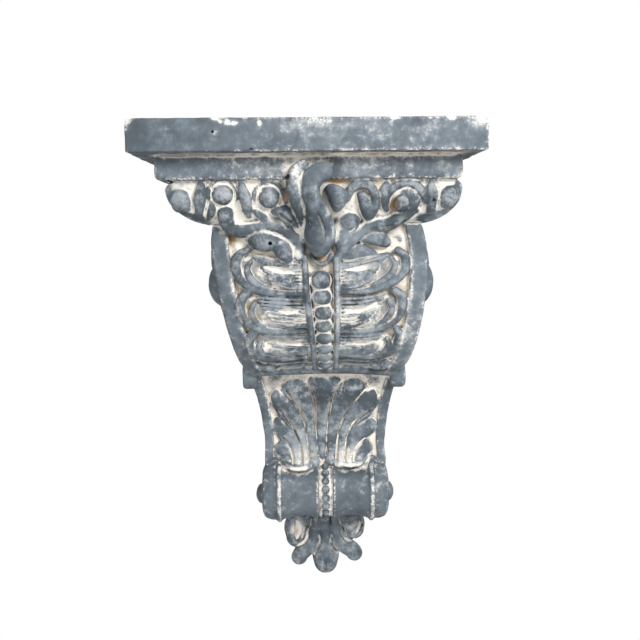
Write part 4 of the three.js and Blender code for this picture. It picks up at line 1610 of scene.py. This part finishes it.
        # Near-black dirt, and painted shade darkening the holes and notches
        finished = shader.mix((dirt_and_hole_shade + break_up * 0.2).eased(0.4, 1.1), stained, self.grime_and_hole_shade)
        roughness = 0.58 + 0.3 * mottle
        grain = mottle * 0.6 + fleck * 0.4
        bump = shader.node("ShaderNodeBump", {}, {"Strength": 0.3, "Distance": 0.0009, "Height": grain})
        inputs = {"Base Color": finished, "Roughness": roughness, "Normal": bump, "Specular IOR Level": 0.3}
        shader.put_out("ShaderNodeOutputMaterial", shader.node("ShaderNodeBsdfPrincipled", {}, inputs))
        return material


@dataclass(frozen=True)
class MarkLimits:
    """Where each mark sets in and how strong it is: pairs are the two ends of a smooth step, in mm."""

    radii: Sequence[float] = (2.5, 4.5, 9.0)
    full_crest: float = 0.8
    full_groove: float = 0.9
    full_middling: float = 1.3
    full_wide: float = 3.0
    hollow_share: float = 0.55
    bulge_share: float = 0.5
    front_lift: tuple[float, float] = (-12.0, -4.0)
    wall_reach: tuple[float, float] = (3.0, 12.0)
    ground_sink: tuple[float, float] = (-5.0, 1.0)
    ground_inset: tuple[float, float] = (6.0, 12.0)
    step_fade: float = 2.0
    shelf_skin: float = 1.5
    shelf_edge: float = 3.0
    shelf_share: float = 0.8
    strip_share: float = 0.55
    strip_top: tuple[float, float] = (112, 120)
    strip_foot: tuple[float, float] = (370, 380)
    strip_inset: float = 1.5
    strip_spread: float = 2.5
    scroll_inset: tuple[float, float] = (-1.0, 3.0)
    scroll_top: tuple[float, float] = (100, 106)
    scroll_foot: tuple[float, float] = (382, 388)
    frieze_top: tuple[float, float] = (60, 63)
    frieze_foot: tuple[float, float] = (105, 109)
    string_half: tuple[float, float] = (7, 9)
    string_top: tuple[float, float] = (300, 380)
    leaf_drop_top: tuple[float, float] = (450, 458)
    leaf_drop_share: float = 0.8


@dataclass(frozen=True)
class Corbel:
    """The whole corbel: carves its wood, meshes it and marks where its paint is worn."""

    body: ScrollBody = ScrollBody()
    crown: Crown = Crown()
    frieze: Frieze = Frieze()
    band: EdgeStrip = EdgeStrip(top=106, bottom=277, width=19, foot_width=19, rise=8, depth=26, rounding=3.5)
    border: EdgeStrip = EdgeStrip(top=280, bottom=392, width=14, foot_width=9, rise=5, depth=20, rounding=2.5)
    tiers: LeafTiers = LeafTiers()
    beads: BeadString = BeadString()
    foliage: Foliage = Foliage()
    palmette: Palmette = Palmette()
    roll: Roll = Roll()
    leaf_drop: LeafDrop = LeafDrop()
    side_scroll: SideScroll = SideScroll()
    paint: WornPaint = WornPaint()
    limits: MarkLimits = MarkLimits()
    block_low: Sequence[float] = (-206, -5, -6)
    block_high: Sequence[float] = (172, 206, 545)
    tool_marks: Sequence[tuple[float, float]] = ((0.28, 14.0), (0.14, 5.0))
    most_triangles: int = 190_000
    front_keep: float = 4.0e-7
    front_facing: float = -0.5
    front_weight: float = 0.5
    flat_facing: float = 0.998

    def carve(self) -> Wood:
        """Carves the wood.

        Returns:
            The carved wood.
        """
        fineness = Fineness.FINISHED
        wood = Wood(self.block_low, self.block_high, fineness.value)
        self.body.carve(wood)
        self.crown.carve(wood)
        self.frieze.carve(wood, self.body)
        for side in SIDES:
            self.border.carve(wood, self.body, side)
            self.band.carve(wood, self.body, side)
        self.side_scroll.carve(wood, self.body)
        self.tiers.carve(wood, self.body)
        self.beads.carve(wood, self.body)
        self.palmette.carve(wood, self.body)
        self.roll.carve(wood)
        self.palmette.carve_lips(wood, self.body)
        self.leaf_drop.carve(wood, self.body)
        self.foliage.carve(wood, self.body)
        rng = np.random.default_rng(SEED)
        for size, spacing in self.tool_marks:
            wood.roughen(size, spacing, rng)
        whole = wood.window(self.block_low, self.block_high)
        wood.distance = np.maximum(wood.distance, np.maximum(-whole.reach, -whole.drop))
        return wood

    def build(self) -> bpy.types.Object:
        """Carves, meshes and paints the corbel.

        Returns:
            The finished piece.
        """
        wood = self.carve()
        points, faces = wood.skin()
        mesh = self._mesh(points, faces)
        mesh = self._thin(mesh)
        self._mark(mesh, wood)
        mesh.materials.append(self.paint.material())
        self._shade(mesh)
        piece = bpy.data.objects.new(PIECE_NAME, mesh)
        bpy.context.scene.collection.objects.link(piece)
        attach(piece, BODY_NAME)
        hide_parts(NODE_NAME)
        return piece

    def _mesh(self, points: np.ndarray, faces: np.ndarray) -> bpy.types.Mesh:
        """Makes a mesh in metres.

        Args:
            points: Rows of x, reach and drop.
            faces: Faces of four corners.

        Returns:
            The mesh.
        """
        mesh = bpy.data.meshes.new(PIECE_NAME)
        x, reach, drop = points.T
        placed = np.stack([x, -reach, ORIGIN_DROP - drop], axis=1) * MM
        mesh.vertices.add(len(placed))
        mesh.vertices.foreach_set("co", placed.astype(np.float32).ravel())
        mesh.loops.add(faces.size)
        mesh.loops.foreach_set("vertex_index", faces.astype(np.int32).ravel())
        mesh.polygons.add(len(faces))
        mesh.polygons.foreach_set("loop_start", np.arange(0, faces.size, faces.shape[1], dtype=np.int32))
        mesh.update(calc_edges=True)
        return mesh

    def _thin(self, mesh: bpy.types.Mesh) -> bpy.types.Mesh:
        """Thins the mesh where it is flat.

        Args:
            mesh: The full mesh.

        Returns:
            A mesh thinned to about most_triangles triangles. A mesh with no more
            triangles than a piece may have.
        """
        holder = bpy.data.objects.new("thinning", mesh)
        bpy.context.scene.collection.objects.link(holder)
        thin = holder.modifiers.new("thin", "DECIMATE")
        full_triangles = 2 * len(mesh.polygons)
        thin.ratio = min(1.0, self.most_triangles / full_triangles)
        thin.use_collapse_triangulate = True
        self._keep_front(holder)
        thin.vertex_group = FRONT_GROUP
        thin.vertex_group_factor = self.front_keep
        graph = bpy.context.evaluated_depsgraph_get()
        thinned = bpy.data.meshes.new_from_object(holder.evaluated_get(graph))
        bpy.data.objects.remove(holder)
        bpy.data.meshes.remove(mesh)
        thinned.name = PIECE_NAME
        return thinned

    def _shade(self, mesh: bpy.types.Mesh) -> None:
        """Shades the carving smooth, and the back and the shelf top flat.

        Args:
            mesh: The thinned mesh.
        """
        normals = np.empty(len(mesh.polygons) * 3, np.float32)
        mesh.polygons.foreach_get("normal", normals)
        into_wall_and_up = normals.reshape(-1, 3)[:, 1:]
        mesh.polygons.foreach_set("use_smooth", into_wall_and_up.max(axis=1) < self.flat_facing)

    def _keep_front(self, holder: bpy.types.Object) -> None:
        """Groups the points so that thinning spares those on the front faces.

        Args:
            holder: The object that holds the full mesh.
        """
        group = holder.vertex_groups.new(name=FRONT_GROUP)
        count = len(holder.data.vertices)
        normals = np.empty(count * 3, np.float32)
        holder.data.vertices.foreach_get("normal", normals)
        facing = normals.reshape(-1, 3)[:, 1] < self.front_facing
        group.add(np.flatnonzero(~facing).tolist(), 1.0, "REPLACE")
        group.add(np.flatnonzero(facing).tolist(), self.front_weight, "REPLACE")

    def _points(self, mesh: bpy.types.Mesh) -> np.ndarray:
        """Reads the mesh's points.

        Args:
            mesh: The mesh, in metres.

        Returns:
            Rows of x, reach and drop.
        """
        flat = np.empty(len(mesh.vertices) * 3, np.float32)
        mesh.vertices.foreach_get("co", flat)
        placed = flat.reshape(-1, 3) / MM
        return np.stack([placed[:, 0], -placed[:, 1], ORIGIN_DROP - placed[:, 2]], axis=1).astype(float)

    def _mark(self, mesh: bpy.types.Mesh, wood: Wood) -> None:
        """Marks the hollows, crests, ground, rubbed places with the painted light on the step, stains, and
        dirt with the painted shade in holes at the mesh's points.

        Args:
            mesh: The finished mesh.
            wood: The carved wood.
        """
        limits = self.limits
        points = self._points(mesh)
        fine, middling, wide = (wood.read(wood.softened(radius), points) for radius in limits.radii)
        x, reach, drop = points.T
        lift = reach - self.body.ground(drop)
        inside = self.body.half_width(drop) - np.abs(x - self.body.axis(drop))
        front = smooth_step(lift, *limits.front_lift)
        off_wall = smooth_step(reach, *limits.wall_reach)
        near_shelf = np.abs(drop - self.crown.shelf_bottom) < limits.shelf_skin
        under_shelf = near_shelf & (reach < self.crown.shelf_reach - limits.shelf_edge)
        below_step = smooth_step(drop - self.crown.step_bottom, -limits.step_fade, limits.step_fade)
        ground = front * below_step * smooth_step(-lift, *limits.ground_sink)
        ground = ground * smooth_step(inside, *limits.ground_inset)
        hollow = np.clip(-middling / limits.full_middling, 0, 1) * limits.hollow_share
        hollow = hollow + np.clip(-wide / limits.full_wide, 0, 1) * limits.hollow_share
        bulge = limits.bulge_share * (middling / limits.full_middling + wide / limits.full_wide)
        marks = {
            Mark.HOLLOW: off_wall * hollow,
            Mark.CREST: off_wall * np.clip(fine / limits.full_crest, 0, 1),
            Mark.BULGE: np.clip(bulge, -1, 1),
            Mark.GROUND: off_wall * np.maximum(ground, limits.shelf_share * under_shelf),
            Mark.CARVED: front * self._carved_field(x, drop, inside),
            Mark.GROOVE: off_wall * np.clip(-fine / limits.full_groove, 0, 1),
            Mark.RUBBED_AND_PAINTED_LIGHT: front * (self._cover(self.paint.rubbed_and_painted_light, points) + self._strip_wear(drop, inside)),
            Mark.STAIN: front * self._cover(self.paint.stains, points),
            Mark.DIRT_AND_HOLE_SHADE: front * self._cover(self.paint.dirt_and_hole_shade, points),
        }
        for mark, values in marks.items():
            layer = mesh.attributes.new(mark.value, "FLOAT", "POINT")
            layer.data.foreach_set("value", values.astype(np.float32))

    def _strip_wear(self, drop: np.ndarray, inside: np.ndarray) -> np.ndarray:
        """How far the paint is rubbed along the inner edges of the strips.

        Args:
            drop: The points' drop.
            inside: Their distance in from the edge of the scroll.

        Returns:
            The wear at each point.
        """
        limits = self.limits
        along = smooth_step(drop, *limits.strip_top) * (1 - smooth_step(drop, *limits.strip_foot))
        off_edge = (inside - self._strip_width(drop) + limits.strip_inset) / limits.strip_spread
        return limits.strip_share * along * np.exp(-(off_edge**2))

    def _strip_width(self, drop: np.ndarray) -> np.ndarray:
        """Width of the strip along the edge of the scroll at each drop."""
        return np.where(drop < self.border.top, self.band.width, self.border.width)

    def _carved_field(self, x: np.ndarray, drop: np.ndarray, inside: np.ndarray) -> np.ndarray:
        """Tells the carved parts of the front from its plain bands, borders and roll.

        Args:
            x: The points' x.
            drop: The points' drop.
            inside: Their distance in from the edge of the scroll.

        Returns:
            1 where the front is carved, 0 where it is plain.
        """
        limits = self.limits
        scroll = smooth_step(inside - self._strip_width(drop), *limits.scroll_inset)
        scroll = scroll * smooth_step(drop, *limits.scroll_top) * (1 - smooth_step(drop, *limits.scroll_foot))
        frieze = smooth_step(drop, *limits.frieze_top) * (1 - smooth_step(drop, *limits.frieze_foot))
        string = (1 - smooth_step(np.abs(x), *limits.string_half)) * smooth_step(drop, *limits.string_top)
        leaf_drop = smooth_step(drop, *limits.leaf_drop_top) * limits.leaf_drop_share
        return np.maximum.reduce([scroll, frieze, string, leaf_drop])

    def _cover(self, spots: Sequence[Spot], points: np.ndarray) -> np.ndarray:
        """Adds up how strongly some spots cover the points.

        Args:
            spots: The spots.
            points: Rows of x, reach and drop.

        Returns:
            Their strength at each point.
        """
        return np.sum([spot.cover(points[:, 0], points[:, 2]) for spot in spots], axis=0)


@dataclass(frozen=True)
class Studio:
    """A pale floor, soft light all round and the camera."""

    floor_height: float = -1.12
    floor_size: float = 2.2
    floor_tone: Sequence[float] = (0.9, 0.9, 0.89, 1.0)
    camera_place: Sequence[float] = (-0.027, -1.020, 0.0545)
    yaw: float = math.radians(1.42)
    pitch: float = math.radians(-6.17)
    roll: float = math.radians(0.6)
    focal_pixels: float = 805.0
    image_pixels: float = 640.0
    sensor: float = 36.0
    backdrop: float = 1.0
    surround: float = 0.38
    aim: Sequence[float] = (0.0, -0.1, -0.08)
    lamps: Sequence[tuple[str, Sequence[float], float, float]] = (
        ("key_light", (0.8, -1.4, 0.8), 0.6, 28.0),
        ("fill_light", (-0.9, -1.6, -0.3), 1.1, 8.0),
    )

    def build(self) -> None:
        """Makes the floor, lights and camera."""
        self._floor()
        self._lights()
        self._camera()
        bpy.context.scene.view_settings.view_transform = "Standard"

    def _floor(self) -> None:
        """Lays the floor."""
        half = self.floor_size / 2
        corners = [(-half, -half), (half, -half), (half, half), (-half, half)]
        mesh = bpy.data.meshes.new("floor")
        mesh.from_pydata([(x, y, self.floor_height) for x, y in corners], [], [(0, 1, 2, 3)])
        material, shader = new_material("pale_floor")
        surface = shader.node("ShaderNodeBsdfDiffuse", {}, {"Color": self.floor_tone})
        shader.put_out("ShaderNodeOutputMaterial", surface)
        mesh.materials.append(material)
        floor = bpy.data.objects.new("floor", mesh)
        bpy.context.scene.collection.objects.link(floor)

    def _lights(self) -> None:
        """Hangs soft lamps in a pale surround that the camera sees as white."""
        world = bpy.data.worlds.new("white_surround")
        world.use_nodes = True
        world.node_tree.nodes.clear()
        nodes = Shader(world.node_tree)
        seen = nodes.node("ShaderNodeLightPath", {}, {}, "Is Camera Ray")
        level = seen * (self.backdrop - self.surround) + self.surround
        surround = nodes.node("ShaderNodeBackground", {}, {"Color": (1.0, 1.0, 1.0, 1.0), "Strength": level})
        nodes.put_out("ShaderNodeOutputWorld", surround)
        bpy.context.scene.world = world
        for name, place, size, power in self.lamps:
            lamp = bpy.data.lights.new(name, "AREA")
            lamp.shape = "DISK"
            lamp.size = size
            lamp.energy = power
            holder = bpy.data.objects.new(name, lamp)
            aim = (Vector(self.aim) - Vector(place)).to_track_quat("-Z", "Y")
            holder.matrix_world = Matrix.LocRotScale(Vector(place), aim, None)
            bpy.context.scene.collection.objects.link(holder)

    def _camera(self) -> None:
        """Sets the camera where the photograph was taken from."""
        lens = bpy.data.cameras.new("camera")
        lens.sensor_width = self.sensor
        lens.lens = self.focal_pixels / self.image_pixels * self.sensor
        flat = math.cos(self.pitch)
        ahead = Vector((math.sin(self.yaw) * flat, math.cos(self.yaw) * flat, math.sin(self.pitch)))
        level = Vector((math.cos(self.yaw), -math.sin(self.yaw), 0.0))
        upright = level.cross(ahead)
        right = math.cos(self.roll) * level - math.sin(self.roll) * upright
        up = math.sin(self.roll) * level + math.cos(self.roll) * upright
        turn = Matrix((right, up, -ahead)).transposed()
        camera = bpy.data.objects.new("camera", lens)
        camera.matrix_world = Matrix.Translation(self.camera_place) @ turn.to_4x4()
        bpy.context.scene.collection.objects.link(camera)
        bpy.context.scene.camera = camera


def main() -> None:
    """Builds the studio and the corbel, and reports the piece."""
    logging.basicConfig(level=logging.INFO, format="%(message)s")
    Studio().build()
    piece = Corbel().build()
    LOG.info("%s: %d triangles", piece.name, len(piece.data.polygons))


if __name__ == "__main__":
    main()
